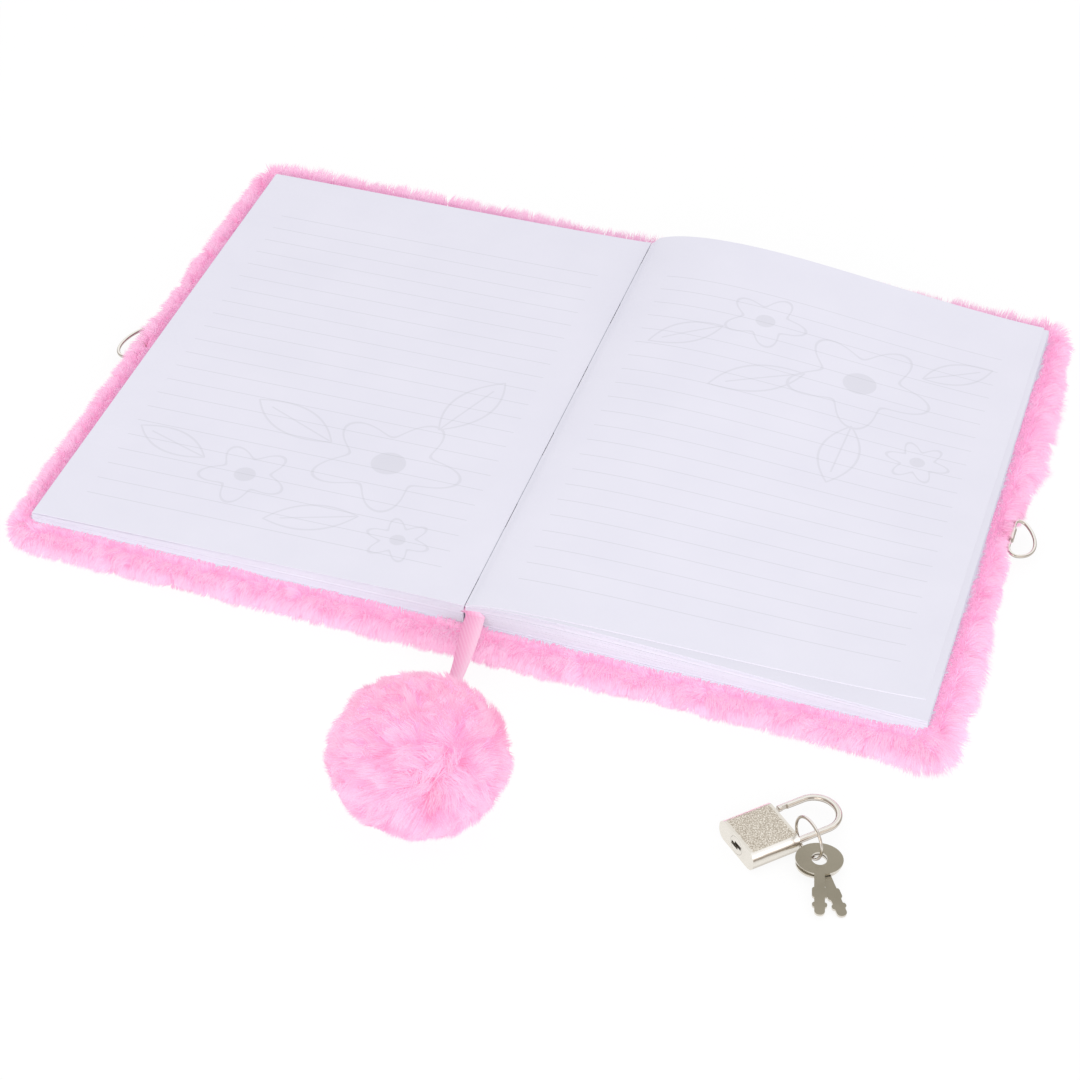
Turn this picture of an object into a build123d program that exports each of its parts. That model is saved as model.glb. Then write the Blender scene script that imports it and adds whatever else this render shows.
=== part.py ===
from build123d import *
import math
import os

# A plush-covered diary lying open near its middle, with a pom-pom bookmark and a loose mini padlock.
# Millimetres. X runs from the front cover to the back cover, Y from foot to head, Z up from the table.
# The origin is on the table, under the sewn fold, halfway between head and foot.

# Pages
PAGE_WIDTH = 145.0
PAGE_HEIGHT = 210.0
PAPER = 0.25
ENDPAPER = 0.3
SIGNATURE_GAP = 0.05
GUTTER_RISE = 7.1
SWELL_RISE_POWER = 0.6
SWELL_FALL_POWER = 1.8
PAGE_STATIONS = (0.0, 0.03, 0.1, 0.25, 0.45, 0.7, 1.0)
FOLD_GAP = 0.45
BLOCK_GAP = 0.6
LEAF_GAP = 0.15
LIFT_POWER = 1.6

# Right-hand pages, with a raised leaf on top
RIGHT_SIGNATURES = 5
RIGHT_FORE = 5.0
RIGHT_FOOT_SWELL = 2.6
RIGHT_HEAD_SWELL = 7.2
RIGHT_LEAF_SWELL = 0.6
RIGHT_LEAF_SETBACK = 2.0
RIGHT_FOOT_LIFT = 8.4
RIGHT_HEAD_LIFT = 0.3

# Left-hand pages, on the front cover
LEFT_SIGNATURES = 4
LEFT_FORE = 3.3
LEFT_FOOT_SWELL = 0.3
LEFT_HEAD_SWELL = -0.6
LEFT_LEAF_SWELL = 0.2
LEFT_LEAF_SETBACK = 0.4
LEFT_FOOT_LIFT = 0.8
LEFT_HEAD_LIFT = 0.1

# Sewing and spine lining
THREAD = 0.5
STITCH_COUNT = 5
STITCH_LENGTH = 26.0
STITCH_MARGIN = 14.0
LINING = 0.4
LINING_GAP = 0.05
LINING_INSET = 4.0

# Case of boards and plush
BOARD = 2.0
BOARD_CORNER = 3.0
SQUARE = 3.0
BOARDS_APART = 12.0
SPINE_WIDTH = 8.0
PILE = 5.0
PLUSH_OVERHANG = 4.5
PLUSH_RISE = 0.6
PLUSH_CORNER = 8.0
PLUSH_LOWER_ROUND = 2.4
PLUSH_UPPER_ROUND = 1.6
PLUSH_SPLIT = 0.2
POCKET_CLEARANCE = 0.05
PASTEDOWN_INSET = 0.8

# Lock rings and their folded metal eyes
RING_WIRE = 1.2
RING_BAR = 12.6
RING_CORNER = 2.4
RING_DEPTH = 8.4
RING_BUTT = 0.3
RING_REACH = 4.2
RING_ALONG = -2.5
RING_DROOP = 22.0
EYE_CLEARANCE = 0.08
EYE_SHEET = 0.4
EYE_LENGTH = 5.8
TAB_LENGTH = 12.0
TAB_CLEARANCE = 0.05
NOTCH_ROOM = 1.2
RIVET_SHANK = 2.0
RIVET_HEAD = 4.0
RIVET_HEAD_THICKNESS = 0.5
RIVET_INSET = 6.0

# Bookmark ribbon and pom-pom
RIBBON_WIDTH = 6.0
RIBBON_THICKNESS = 0.6
RIBBON_X = 3.8
RIBBON_GAP = 0.5
RIBBON_ROUTE = ((0.0, 12.2), (7.0, 11.2), (18.0, 8.6), (31.0, 9.4), (43.0, 14.5), (54.0, 21.0))
ARC_SHARE = 0.45
POM_X = 10.2
POM_OUT = 73.4
POM_RADIUS = 27.5
POM_HALF_HEIGHT = 23.5
POM_SIDE_RADIUS = 20.8
POM_FLAT = 0.5

# Padlock, in its own frame: X across the case, Y out of its top face along the shackle
PADLOCK_X = 113.2
PADLOCK_OUT = 47.8
PADLOCK_TURN = -43.0
CASE_WIDTH = 18.0
CASE_HEIGHT = 16.0
CASE_THICKNESS = 7.0
CASE_ROUND = 3.0
SHACKLE_WIRE = 2.0
SHACKLE_SPAN = 13.4
SHACKLE_STRAIGHT = 11.4
TOE_RAISED = 2.4
TOE_ROUND = 0.4
SHACKLE_TRAVEL = 6.6
SHACKLE_CLEARANCE = 0.06
HEEL_DEPTH = 4.0
GROOVE_DEPTH = 0.3
GROOVE_LENGTH = 0.9
GROOVE_UP = 0.4
GUIDE_LENGTH = 2.0
CAVITY_WALL = 0.62
STOP_RING_GAP = 0.1
CAVITY_GAP = 0.12
PLUG_RADIUS = 2.9
PLUG_INNER_END = 5.0
PLUG_CLEARANCE = 0.06
KEYWAY_WIDTH = 4.8
KEYWAY_DEPTH = 10.0
KEYWAY_STEP = 0.9
KEYWAY_SLOT = 1.3
KEYWAY_LAP = 1.6
CAM_RADIUS = 1.3
CAM_OFFSET = 0.9
CAM_LENGTH = 3.2
CAM_GAP = 0.1
LATCH_HEIGHT = 1.8
LATCH_WIDTH = 1.6
LATCH_THROW = 0.6
LATCH_TO_TOE_TIP = 2.2
LATCH_CLEARANCE = 0.08
LATCH_SETBACK = 0.2
NOTCH_DEPTH = 0.7

# Key ring and keys
KEY_RING_RADIUS = 6.4
KEY_RING_WIRE = 0.9
KEY_RING_SIDE = 3.2
KEY_RING_UP = 2.0
FLOOR_GAP = 0.15
KEY_THICKNESS = 0.8
KEY_GAP = 0.3
KEY_BOW_LONG = 5.6
KEY_BOW_WIDE = 6.9
KEY_HOLE = 2.3
KEY_SIDE = 9.1
KEY_LIFT = 2.3
KEY_TILT = 6.0
KEY_LENGTH = 19.8
KEY_STEM = 3.0
KEY_STEM_ROUND = 1.35
KEY_LOBE = 4.3
KEY_LOBE_ROUND = 0.8
UPPER_LOBE = 3.6
UPPER_LOBE_AT = 12.0
LOWER_LOBE = 1.8
LOWER_LOBE_AT = 16.3
KEY_HEADINGS = (-56.0, -76.0)

# Levels and edges that several pieces share
BOARD_TOP = PILE + BOARD
LEAF_BASE = BOARD_TOP + ENDPAPER
FOLD_Z = LEAF_BASE + GUTTER_RISE + LEAF_GAP
FOOT_Y = -PAGE_HEIGHT / 2
HEAD_Y = PAGE_HEIGHT / 2
HINGE_EDGE = BOARDS_APART / 2
BOARD_EDGE = PAGE_WIDTH + SQUARE
BOARD_HALF_HEIGHT = PAGE_HEIGHT / 2 + SQUARE
PLUSH_TOP = BOARD_TOP + PLUSH_RISE
RING_X = BOARD_EDGE + RING_REACH
RING_HALF_WIDTH = RING_BAR / 2 + RING_CORNER
EYE_BORE = RING_WIRE / 2 + EYE_CLEARANCE
EYE_OUTSIDE = EYE_BORE + EYE_SHEET
TAB_THICKNESS = 2 * EYE_SHEET
TAB_TOP = BOARD_TOP - TAB_CLEARANCE
RING_Z = TAB_TOP - EYE_OUTSIDE
POM_AT = (POM_X, FOOT_Y - POM_OUT)
PADLOCK_AT = (PADLOCK_X, FOOT_Y - PADLOCK_OUT)
HEEL_X = SHACKLE_SPAN / 2
CASE_MIDDLE = CASE_THICKNESS / 2


def block(x0, x1, y0, y1, z0, z1):
    """A box between two corners."""
    return Pos(x0, y0, z0) * Box(x1 - x0, y1 - y0, z1 - z0, align=(Align.MIN, Align.MIN, Align.MIN))


def rod(radius, start, end, x, z):
    """A cylinder along Y between two stations."""
    upright = Cylinder(radius, end - start, align=(Align.CENTER, Align.CENTER, Align.MIN))
    return Pos(x, end, z) * Rot(90, 0, 0) * upright


# Paper

def swell(u):
    """The hump of the pages beside the fold, 0 at both edges and 1 at its highest."""
    peak = SWELL_RISE_POWER / (SWELL_RISE_POWER + SWELL_FALL_POWER)
    highest = peak**SWELL_RISE_POWER * (1 - peak) ** SWELL_FALL_POWER
    return u**SWELL_RISE_POWER * (1 - u) ** SWELL_FALL_POWER / highest


def block_height(u, fore, hump):
    return GUTTER_RISE * (1 - u) + fore * u + hump * swell(u)


def block_line(share, fore, hump, raise_by=0.0):
    """Points (x, z) across the block at a share of its height."""
    width = PAGE_WIDTH - BLOCK_GAP
    base = LEAF_BASE + raise_by
    return [(BLOCK_GAP + u * width, base + share * block_height(u, fore, hump)) for u in PAGE_STATIONS]


def leaf_line(fore, hump, lift, setback, raise_by):
    """Points across a leaf that lies on the block and lifts towards its fore edge."""
    width = PAGE_WIDTH - setback - FOLD_GAP
    base = LEAF_BASE + LEAF_GAP + raise_by
    points = []
    for u in PAGE_STATIONS:
        points.append((FOLD_GAP + u * width, base + block_height(u, fore, hump) + lift * u**LIFT_POWER))
    return points


def section(lower, upper, y):
    """Closed outline at one end of a sheet, between its under and upper lines."""
    low = Spline(*[(x, y, z) for x, z in lower])
    high = Spline(*[(x, y, z) for x, z in upper])
    return Wire([low, Line(low @ 1, high @ 1), high, Line(low @ 0, high @ 0)])


def sheet(foot_lower, foot_upper, head_lower, head_upper):
    """Paper between a line at the foot and a line at the head."""
    ends = [section(foot_lower, foot_upper, FOOT_Y), section(head_lower, head_upper, HEAD_Y)]
    return Solid.make_loft(ends, ruled=True)


def signature(number, count, fore, foot_swell, head_swell):
    low = (number - 1) / count
    high = number / count
    gap = SIGNATURE_GAP
    return sheet(
        block_line(low, fore, foot_swell, gap),
        block_line(high, fore, foot_swell),
        block_line(low, fore, head_swell, gap),
        block_line(high, fore, head_swell),
    )


def right_signature(number):
    return signature(number, RIGHT_SIGNATURES, RIGHT_FORE, RIGHT_FOOT_SWELL, RIGHT_HEAD_SWELL)


def left_signature(number):
    return to_front(signature(number, LEFT_SIGNATURES, LEFT_FORE, LEFT_FOOT_SWELL, LEFT_HEAD_SWELL))


def leaf(fore, foot_swell, head_swell, foot_lift, head_lift, setback):
    return sheet(
        leaf_line(fore, foot_swell, foot_lift, setback, 0.0),
        leaf_line(fore, foot_swell, foot_lift, setback, PAPER),
        leaf_line(fore, head_swell, head_lift, setback, 0.0),
        leaf_line(fore, head_swell, head_lift, setback, PAPER),
    )


def right_leaf():
    foot = RIGHT_FOOT_SWELL + RIGHT_LEAF_SWELL
    head = RIGHT_HEAD_SWELL + RIGHT_LEAF_SWELL
    return leaf(RIGHT_FORE, foot, head, RIGHT_FOOT_LIFT, RIGHT_HEAD_LIFT, RIGHT_LEAF_SETBACK)


def left_leaf():
    foot = LEFT_FOOT_SWELL + LEFT_LEAF_SWELL
    head = LEFT_HEAD_SWELL + LEFT_LEAF_SWELL
    return to_front(leaf(LEFT_FORE, foot, head, LEFT_FOOT_LIFT, LEFT_HEAD_LIFT, LEFT_LEAF_SETBACK))


def stitches():
    """Thread lying in the fold, in separate stitches."""
    first = FOOT_Y + STITCH_MARGIN
    pitch = (PAGE_HEIGHT - 2 * STITCH_MARGIN - STITCH_LENGTH) / (STITCH_COUNT - 1)
    starts = [first + pitch * i for i in range(STITCH_COUNT)]
    return Compound([rod(THREAD / 2, y, y + STITCH_LENGTH, 0, FOLD_Z).solid() for y in starts])


def spine_lining():
    right = BLOCK_GAP - LINING_GAP
    top = LEAF_BASE + GUTTER_RISE - LINING
    return block(right - LINING, right, FOOT_Y + LINING_INSET, HEAD_Y - LINING_INSET, LEAF_BASE, top)


# Boards and plush, drawn for the back cover and mirrored for the front

def board():
    plate = block(HINGE_EDGE, BOARD_EDGE, -BOARD_HALF_HEIGHT, BOARD_HALF_HEIGHT, PILE, BOARD_TOP)
    corners = plate.edges().filter_by(Axis.Z).sort_by(Axis.X)[-2:]
    plate = fillet(corners, BOARD_CORNER)
    half = EYE_LENGTH / 2 + TAB_CLEARANCE
    recess_start = BOARD_EDGE - TAB_LENGTH - TAB_CLEARANCE
    recess_floor = TAB_TOP - TAB_THICKNESS - TAB_CLEARANCE
    plate -= block(recess_start, BOARD_EDGE, RING_ALONG - half, RING_ALONG + half, recess_floor, BOARD_TOP)
    plate -= rivet(TAB_CLEARANCE)
    return plate


def rivet(room=0.0):
    """Flat-headed rivet through the tab and the board, or the hole for it."""
    at = Pos(BOARD_EDGE - RIVET_INSET, RING_ALONG, PILE)
    upright = (Align.CENTER, Align.CENTER, Align.MIN)
    shank = Cylinder(RIVET_SHANK / 2 + room, TAB_TOP - PILE, align=upright)
    head = Cylinder(RIVET_HEAD / 2 + room, RIVET_HEAD_THICKNESS + room, align=upright)
    return at * (shank + head)


def pastedown():
    half = BOARD_HALF_HEIGHT - PASTEDOWN_INSET
    return block(HINGE_EDGE, BOARD_EDGE - PASTEDOWN_INSET, -half, half, BOARD_TOP, LEAF_BASE)


def plush_slab():
    """The whole cover's fur as one rounded slab, open where the boards lie."""
    width = 2 * (BOARD_EDGE + PLUSH_OVERHANG)
    depth = 2 * (BOARD_HALF_HEIGHT + PLUSH_OVERHANG)
    slab = extrude(RectangleRounded(width, depth, PLUSH_CORNER), PLUSH_TOP)
    slab = fillet(slab.faces().sort_by(Axis.Z)[-1].edges(), PLUSH_UPPER_ROUND)
    slab = fillet(slab.faces().sort_by(Axis.Z)[0].edges(), PLUSH_LOWER_ROUND)
    long = BOARD_EDGE + POCKET_CLEARANCE
    deep = BOARD_HALF_HEIGHT + POCKET_CLEARANCE
    return slab - block(-long, long, -deep, deep, PILE, PLUSH_TOP)


def cover_plush(slab):
    far = BOARD_EDGE + 2 * PLUSH_OVERHANG
    deep = BOARD_HALF_HEIGHT + 2 * PLUSH_OVERHANG
    half = slab & block(HINGE_EDGE + PLUSH_SPLIT, far, -deep, deep, 0, PLUSH_TOP)
    room = RING_HALF_WIDTH + RING_WIRE / 2 + NOTCH_ROOM
    start = BOARD_EDGE + POCKET_CLEARANCE
    return half - block(start, far, RING_ALONG - room, RING_ALONG + room, 0, PLUSH_TOP)


def spine_plush(slab):
    deep = BOARD_HALF_HEIGHT + 2 * PLUSH_OVERHANG
    return slab & block(-HINGE_EDGE, HINGE_EDGE, -deep, deep, 0, PLUSH_TOP)


def spine_board():
    half = SPINE_WIDTH / 2
    return block(-half, half, -BOARD_HALF_HEIGHT, BOARD_HALF_HEIGHT, PILE, BOARD_TOP)


# Lock rings

def ring_tab():
    """Sheet folded round the ring's bar, with its two ends pressed together in the board."""
    half = EYE_LENGTH / 2
    eye = rod(EYE_OUTSIDE, RING_ALONG - half, RING_ALONG + half, RING_X, RING_Z)
    start = BOARD_EDGE - TAB_LENGTH
    tab = eye + block(start, RING_X, RING_ALONG - half, RING_ALONG + half, TAB_TOP - TAB_THICKNESS, TAB_TOP)
    tab -= rod(EYE_BORE, RING_ALONG - half, RING_ALONG + half, RING_X, RING_Z)
    return tab - rivet(TAB_CLEARANCE)


def lock_ring():
    """D-shaped wire ring of a bar, two corners and a bow, butted inside its eye."""
    bar = RING_BAR / 2
    bow_sum = (RING_DEPTH - RING_CORNER) ** 2 + bar**2 - RING_CORNER**2
    bow = bow_sum / (2 * (RING_DEPTH - 2 * RING_CORNER))
    bow_x = RING_DEPTH - bow
    meet = math.degrees(math.atan2(bar, RING_CORNER - bow_x))
    butt = RING_BUTT / 2
    path = [
        Line((0, butt), (0, bar)),
        CenterArc((RING_CORNER, bar), RING_CORNER, 180, meet - 180),
        CenterArc((bow_x, 0), bow, meet, -2 * meet),
        CenterArc((RING_CORNER, -bar), RING_CORNER, -meet, meet - 180),
        Line((0, -bar), (0, -butt)),
    ]
    start = Plane(origin=(0, butt, 0), z_dir=(0, 1, 0))
    ring = sweep(start * Circle(RING_WIRE / 2), path=Wire(path))
    return Pos(RING_X, RING_ALONG, RING_Z) * Rot(0, RING_DROOP, 0) * ring


def to_front(piece):
    return mirror(piece, about=Plane.YZ)


# Bookmark

def ribbon_path():
    """The ribbon's route in one upright plane, the section's plane at its start, and the arcs' radii."""
    start = Vector(RIBBON_X, FOOT_Y - RIBBON_GAP, 0)
    heading = (Vector(POM_AT[0], POM_AT[1], 0) - start).normalized()
    points = [start + heading * along + Vector(0, 0, up) for along, up in RIBBON_ROUTE]
    runs = [b - a for a, b in zip(points, points[1:])]
    radii = []
    for before, after in zip(runs, runs[1:]):
        half_turn = math.radians(before.get_angle(after)) / 2
        radii.append(ARC_SHARE * min(before.length, after.length) / math.tan(half_turn))
    across = heading.cross(Vector(0, 0, 1))
    section_plane = Plane(origin=points[0], x_dir=across, z_dir=runs[0])
    return FilletPolyline(*points, radius=radii), section_plane, radii


def ribbon(room=0.0):
    """Flat ribbon from the foot of the fold into the pom-pom, or the pocket for it."""
    path, start, radii = ribbon_path()
    return sweep(start * Rectangle(RIBBON_WIDTH + 2 * room, RIBBON_THICKNESS + 2 * room), path=path)


def report_ribbon(solid):
    path, start, radii = ribbon_path()
    print("ribbon radii", [round(r, 1) for r in radii], "length", round(path.length, 2))
    by_length = RIBBON_WIDTH * RIBBON_THICKNESS * path.length
    print("ribbon volume", round(solid.volume, 2), "section by length", round(by_length, 2))


def pompom():
    """Round bobble of three arcs, a little flattened where it rests, with the ribbon's end held in it."""
    side_x = POM_RADIUS - POM_SIDE_RADIUS
    spread = side_x**2 + POM_HALF_HEIGHT**2 - POM_SIDE_RADIUS**2
    crown = spread / (2 * (POM_HALF_HEIGHT - POM_SIDE_RADIUS))
    drop = crown - POM_HALF_HEIGHT
    meet = math.degrees(math.atan2(drop, side_x))
    rest_angle = -math.degrees(math.asin((crown - POM_FLAT) / crown))
    lower = CenterArc((0, drop), crown, rest_angle, -meet - rest_angle)
    side = CenterArc((side_x, 0), POM_SIDE_RADIUS, -meet, 2 * meet)
    upper = CenterArc((0, -drop), crown, meet, 90 - meet)
    foot = Vector(0, POM_FLAT - POM_HALF_HEIGHT)
    profile = make_face([Line(foot, lower @ 0), lower, side, upper, Line(upper @ 1, foot)])
    ball = revolve(Plane.XZ * profile, Axis.Z)
    return Pos(POM_AT[0], POM_AT[1], POM_HALF_HEIGHT - POM_FLAT) * ball - ribbon(POCKET_CLEARANCE)


# Padlock

def place(piece):
    """From the padlock's own frame to the table."""
    return Pos(PADLOCK_AT[0], PADLOCK_AT[1], 0) * Rot(0, 0, PADLOCK_TURN) * piece


def latch_station():
    """Where the latch crosses the toe when the shackle is pushed home."""
    return TOE_RAISED - SHACKLE_TRAVEL + LATCH_TO_TOE_TIP


def case():
    outline = Plane.XZ * Pos(0, CASE_MIDDLE) * RectangleRounded(CASE_WIDTH, CASE_THICKNESS, CASE_ROUND)
    body = extrude(outline, CASE_HEIGHT)
    hole = SHACKLE_WIRE / 2 + SHACKLE_CLEARANCE
    cavity = SHACKLE_WIRE / 2 + CAVITY_WALL
    cavity_floor = -HEEL_DEPTH - SHACKLE_TRAVEL - CAVITY_WALL
    toe_floor = TOE_RAISED - SHACKLE_TRAVEL - SHACKLE_WIRE / 2
    body -= rod(hole, -GUIDE_LENGTH, 0, HEEL_X, CASE_MIDDLE)
    body -= rod(cavity, cavity_floor, -GUIDE_LENGTH, HEEL_X, CASE_MIDDLE)
    body -= rod(hole, toe_floor, 0, -HEEL_X, CASE_MIDDLE)
    plug_end = -PLUG_INNER_END
    body -= rod(PLUG_RADIUS + PLUG_CLEARANCE, -CASE_HEIGHT, plug_end, 0, CASE_MIDDLE)
    cam_room = CAM_OFFSET + CAM_RADIUS + CAM_GAP
    body -= rod(cam_room, plug_end, plug_end + CAM_LENGTH + CAM_GAP, 0, CASE_MIDDLE)
    side = LATCH_WIDTH / 2 + LATCH_CLEARANCE
    rise = LATCH_HEIGHT / 2 + LATCH_CLEARANCE
    y = latch_station()
    return body - block(-HEEL_X, 0, y - side, y + side, CASE_MIDDLE - rise, CASE_MIDDLE + rise)


def shackle():
    heel_end = -HEEL_DEPTH
    path = Wire([
        Line((HEEL_X, heel_end), (HEEL_X, SHACKLE_STRAIGHT)),
        CenterArc((0, SHACKLE_STRAIGHT), HEEL_X, 0, 180),
        Line((-HEEL_X, SHACKLE_STRAIGHT), (-HEEL_X, TOE_RAISED)),
    ])
    radius = SHACKLE_WIRE / 2
    bow = sweep(Plane(origin=(HEEL_X, heel_end, 0), z_dir=(0, 1, 0)) * Circle(radius), path=path)
    tip = bow.faces().filter_by(GeomType.PLANE).sort_by(Axis.X)[0]
    bow = Pos(0, 0, CASE_MIDDLE) * fillet(tip.edges(), TOE_ROUND)
    groove = stop_ring_station()
    half = GROOVE_LENGTH / 2
    collar = rod(2 * radius, groove - half, groove + half, HEEL_X, CASE_MIDDLE)
    bow -= collar - rod(radius - GROOVE_DEPTH, groove - half, groove + half, HEEL_X, CASE_MIDDLE)
    inner = radius - HEEL_X
    y = TOE_RAISED + LATCH_TO_TOE_TIP
    side = LATCH_WIDTH / 2 + 2 * LATCH_CLEARANCE
    return bow - block(inner - NOTCH_DEPTH, inner + radius, y - side, y + side, 0, CASE_THICKNESS)


def stop_ring_station():
    return -HEEL_DEPTH + GROOVE_UP + GROOVE_LENGTH / 2


def stop_ring():
    """Ring in the heel's groove, which keeps the shackle in the case."""
    half = GROOVE_LENGTH / 2 - STOP_RING_GAP
    y = stop_ring_station()
    inner = SHACKLE_WIRE / 2 - GROOVE_DEPTH + EYE_CLEARANCE
    outer = SHACKLE_WIRE / 2 + CAVITY_WALL - CAVITY_GAP
    ring = rod(outer, y - half, y + half, HEEL_X, CASE_MIDDLE)
    return ring - rod(inner, y - half, y + half, HEEL_X, CASE_MIDDLE)


def lock_plug():
    end = -PLUG_INNER_END
    plug = rod(PLUG_RADIUS, -CASE_HEIGHT, end, 0, CASE_MIDDLE)
    plug += rod(CAM_RADIUS, end, end + CAM_LENGTH, CAM_OFFSET, CASE_MIDDLE)
    half = KEYWAY_SLOT / 2
    slot_end = KEYWAY_DEPTH - CASE_HEIGHT
    for side in (-1, 1):
        left, right = sorted((side * KEYWAY_WIDTH / 2, -side * KEYWAY_LAP / 2))
        middle = CASE_MIDDLE + side * KEYWAY_STEP / 2
        plug -= block(left, right, -CASE_HEIGHT, slot_end, middle - half, middle + half)
    return plug


def latch():
    tip = SHACKLE_WIRE / 2 + LATCH_SETBACK - HEEL_X
    tail = CAM_OFFSET - CAM_RADIUS - LATCH_THROW
    y = latch_station()
    return block(tip, tail, y - LATCH_WIDTH / 2, y + LATCH_WIDTH / 2,
                 CASE_MIDDLE - LATCH_HEIGHT / 2, CASE_MIDDLE + LATCH_HEIGHT / 2)


# Keys

def key_ring():
    up = FLOOR_GAP + KEY_RING_RADIUS + KEY_RING_WIRE / 2
    at = Pos(HEEL_X + KEY_RING_SIDE, KEY_RING_UP, up)
    return at * Rot(90, 0, 0) * Torus(KEY_RING_RADIUS, KEY_RING_WIRE / 2)


def key_outline():
    """Oval bow with a hole, and a stem with two lobes on each side; the stem points along X."""
    stem = Pos(KEY_LENGTH / 2, 0) * RectangleRounded(KEY_LENGTH, KEY_STEM, KEY_STEM_ROUND)
    upper = Pos(UPPER_LOBE_AT, 0) * RectangleRounded(UPPER_LOBE, KEY_LOBE, KEY_LOBE_ROUND)
    lower = Pos(LOWER_LOBE_AT, 0) * RectangleRounded(LOWER_LOBE, KEY_LOBE, KEY_LOBE_ROUND)
    return Ellipse(KEY_BOW_LONG, KEY_BOW_WIDE) + stem + upper + lower - Circle(KEY_HOLE)


def key(number):
    """A flat key on the table, its bow held up by the ring; the second lies on the first."""
    plate = extrude(key_outline(), KEY_THICKNESS)
    up = KEY_LIFT + number * (KEY_THICKNESS + KEY_GAP)
    bow = place(Pos(HEEL_X + KEY_SIDE, KEY_RING_UP, up)).position
    return Pos(bow) * Rot(0, 0, KEY_HEADINGS[number]) * Rot(0, KEY_TILT, 0) * plate


def build():
    slab = plush_slab()
    back_plush = cover_plush(slab)
    pieces = {
        "back_board": board(),
        "back_plush": back_plush,
        "back_pastedown": pastedown(),
        "back_ring_tab": ring_tab(),
        "back_ring_rivet": rivet(),
        "back_lock_ring": lock_ring(),
        "spine_board": spine_board(),
        "spine_plush": spine_plush(slab),
        "spine_lining": spine_lining(),
        "sewing_thread": stitches(),
        "right_leaf": right_leaf(),
        "left_leaf": left_leaf(),
        "bookmark_ribbon": ribbon(),
        "pompom": pompom(),
        "padlock_case": place(case()),
        "padlock_shackle": place(shackle()),
        "padlock_stop_ring": place(stop_ring()),
        "padlock_plug": place(lock_plug()),
        "padlock_latch": place(latch()),
        "key_ring": place(key_ring()),
    }
    for number in range(1, RIGHT_SIGNATURES + 1):
        pieces[f"right_signature_{number}"] = right_signature(number)
    for number in range(1, LEFT_SIGNATURES + 1):
        pieces[f"left_signature_{number}"] = left_signature(number)
    for number in range(len(KEY_HEADINGS)):
        pieces[f"key_{number + 1}"] = key(number)
    for name in ("board", "plush", "pastedown", "ring_tab", "ring_rivet", "lock_ring"):
        pieces[f"front_{name}"] = to_front(pieces[f"back_{name}"])
    return pieces


os.makedirs("parts", exist_ok=True)
solids = build()
report_ribbon(solids["bookmark_ribbon"])
for node, piece in solids.items():
    export_step(piece, f"parts/{node}.step")
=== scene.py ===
import math
from functools import partialmethod

import bpy
import numpy as np
from mathutils import Matrix, Vector
from mathutils.kdtree import KDTree


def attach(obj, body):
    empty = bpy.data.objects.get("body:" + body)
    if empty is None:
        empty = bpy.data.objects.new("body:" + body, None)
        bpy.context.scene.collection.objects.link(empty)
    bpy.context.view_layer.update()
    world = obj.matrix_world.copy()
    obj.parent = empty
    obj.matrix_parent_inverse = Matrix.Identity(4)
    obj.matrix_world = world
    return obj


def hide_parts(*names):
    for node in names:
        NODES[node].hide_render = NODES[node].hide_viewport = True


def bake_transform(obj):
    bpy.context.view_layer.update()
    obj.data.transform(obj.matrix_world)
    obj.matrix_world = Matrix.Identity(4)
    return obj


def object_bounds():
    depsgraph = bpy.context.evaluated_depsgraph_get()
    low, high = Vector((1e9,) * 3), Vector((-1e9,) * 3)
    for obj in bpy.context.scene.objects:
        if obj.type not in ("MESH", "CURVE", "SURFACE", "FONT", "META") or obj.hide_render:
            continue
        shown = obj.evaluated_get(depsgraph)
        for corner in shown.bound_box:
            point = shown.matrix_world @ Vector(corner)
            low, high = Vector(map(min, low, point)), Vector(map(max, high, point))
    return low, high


# The looks of a plush diary lying open, with a pom-pom bookmark and a loose padlock.
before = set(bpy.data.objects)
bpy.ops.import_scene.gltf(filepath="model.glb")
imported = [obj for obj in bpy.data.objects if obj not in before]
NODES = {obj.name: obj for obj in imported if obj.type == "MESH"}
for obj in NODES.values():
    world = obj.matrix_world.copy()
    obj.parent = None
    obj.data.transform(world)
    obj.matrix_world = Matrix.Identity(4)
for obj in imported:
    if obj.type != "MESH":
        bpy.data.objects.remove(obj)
CAD_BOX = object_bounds()
MM = 0.001
rng = np.random.default_rng(17)
scene = bpy.context.scene

# Camera of the photograph, in millimetres and degrees
LENS = 95.87
SENSOR = 36.0
AZIMUTH = 15.84
ELEVATION = 40.0
ROLL = 2.65
DISTANCE = 928.0
TARGET = (7.5, -50.3, 0.0)

# Pages, in millimetres
PAGE_FOOT = -105.0
PAGE_HEAD = 105.0
PAGE_FORE = 145.0
BLOCK_START = 0.3
BLOCK_RUN = 144.7
BLOCK_FLOOR = 7.3
LEAF_START = 0.15
LEAF_FLOOR = 7.42
GUTTER_RISE = 7.1
PAPER = 0.25
FORE_TRIM = 0.35
END_TRIM = 0.18

# A section's leaves, rise at the fore edge, and humps at the foot and head
RIGHT_SECTION = (5, 5.0, (2.6, 7.2))
LEFT_SECTION = (4, 3.3, (0.3, -0.6))
# A loose leaf's run, rise at the fore edge, and humps and lifts at the foot and head
RIGHT_LEAF = (142.85, 5.0, (3.2, 7.8), (8.4, 0.3))
LEFT_LEAF = (144.45, 3.3, (0.4, -0.5), (0.3, 0.05))

# Fur, in millimetres
CORE_X = 149.2
CORE_Y = 109.4
CORE_CORNER = 5.0
RIM_OUT = 1.6
RIM_UP = 2.6
RIM_Z = 4.0
UNDERSIDE_Z = 2.2
LIP_IN = 2.6
LIP_RISE = 0.8
LIP_UNDER = 7.34
POCKET_Z = 4.95
POCKET_BACK = 1.0
COVER_END = 8.1
SPINE_END = 3.9
RING_Y = -2.5
RING_DENT = 0.9
FUR_FLOOR = 0.15
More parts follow.
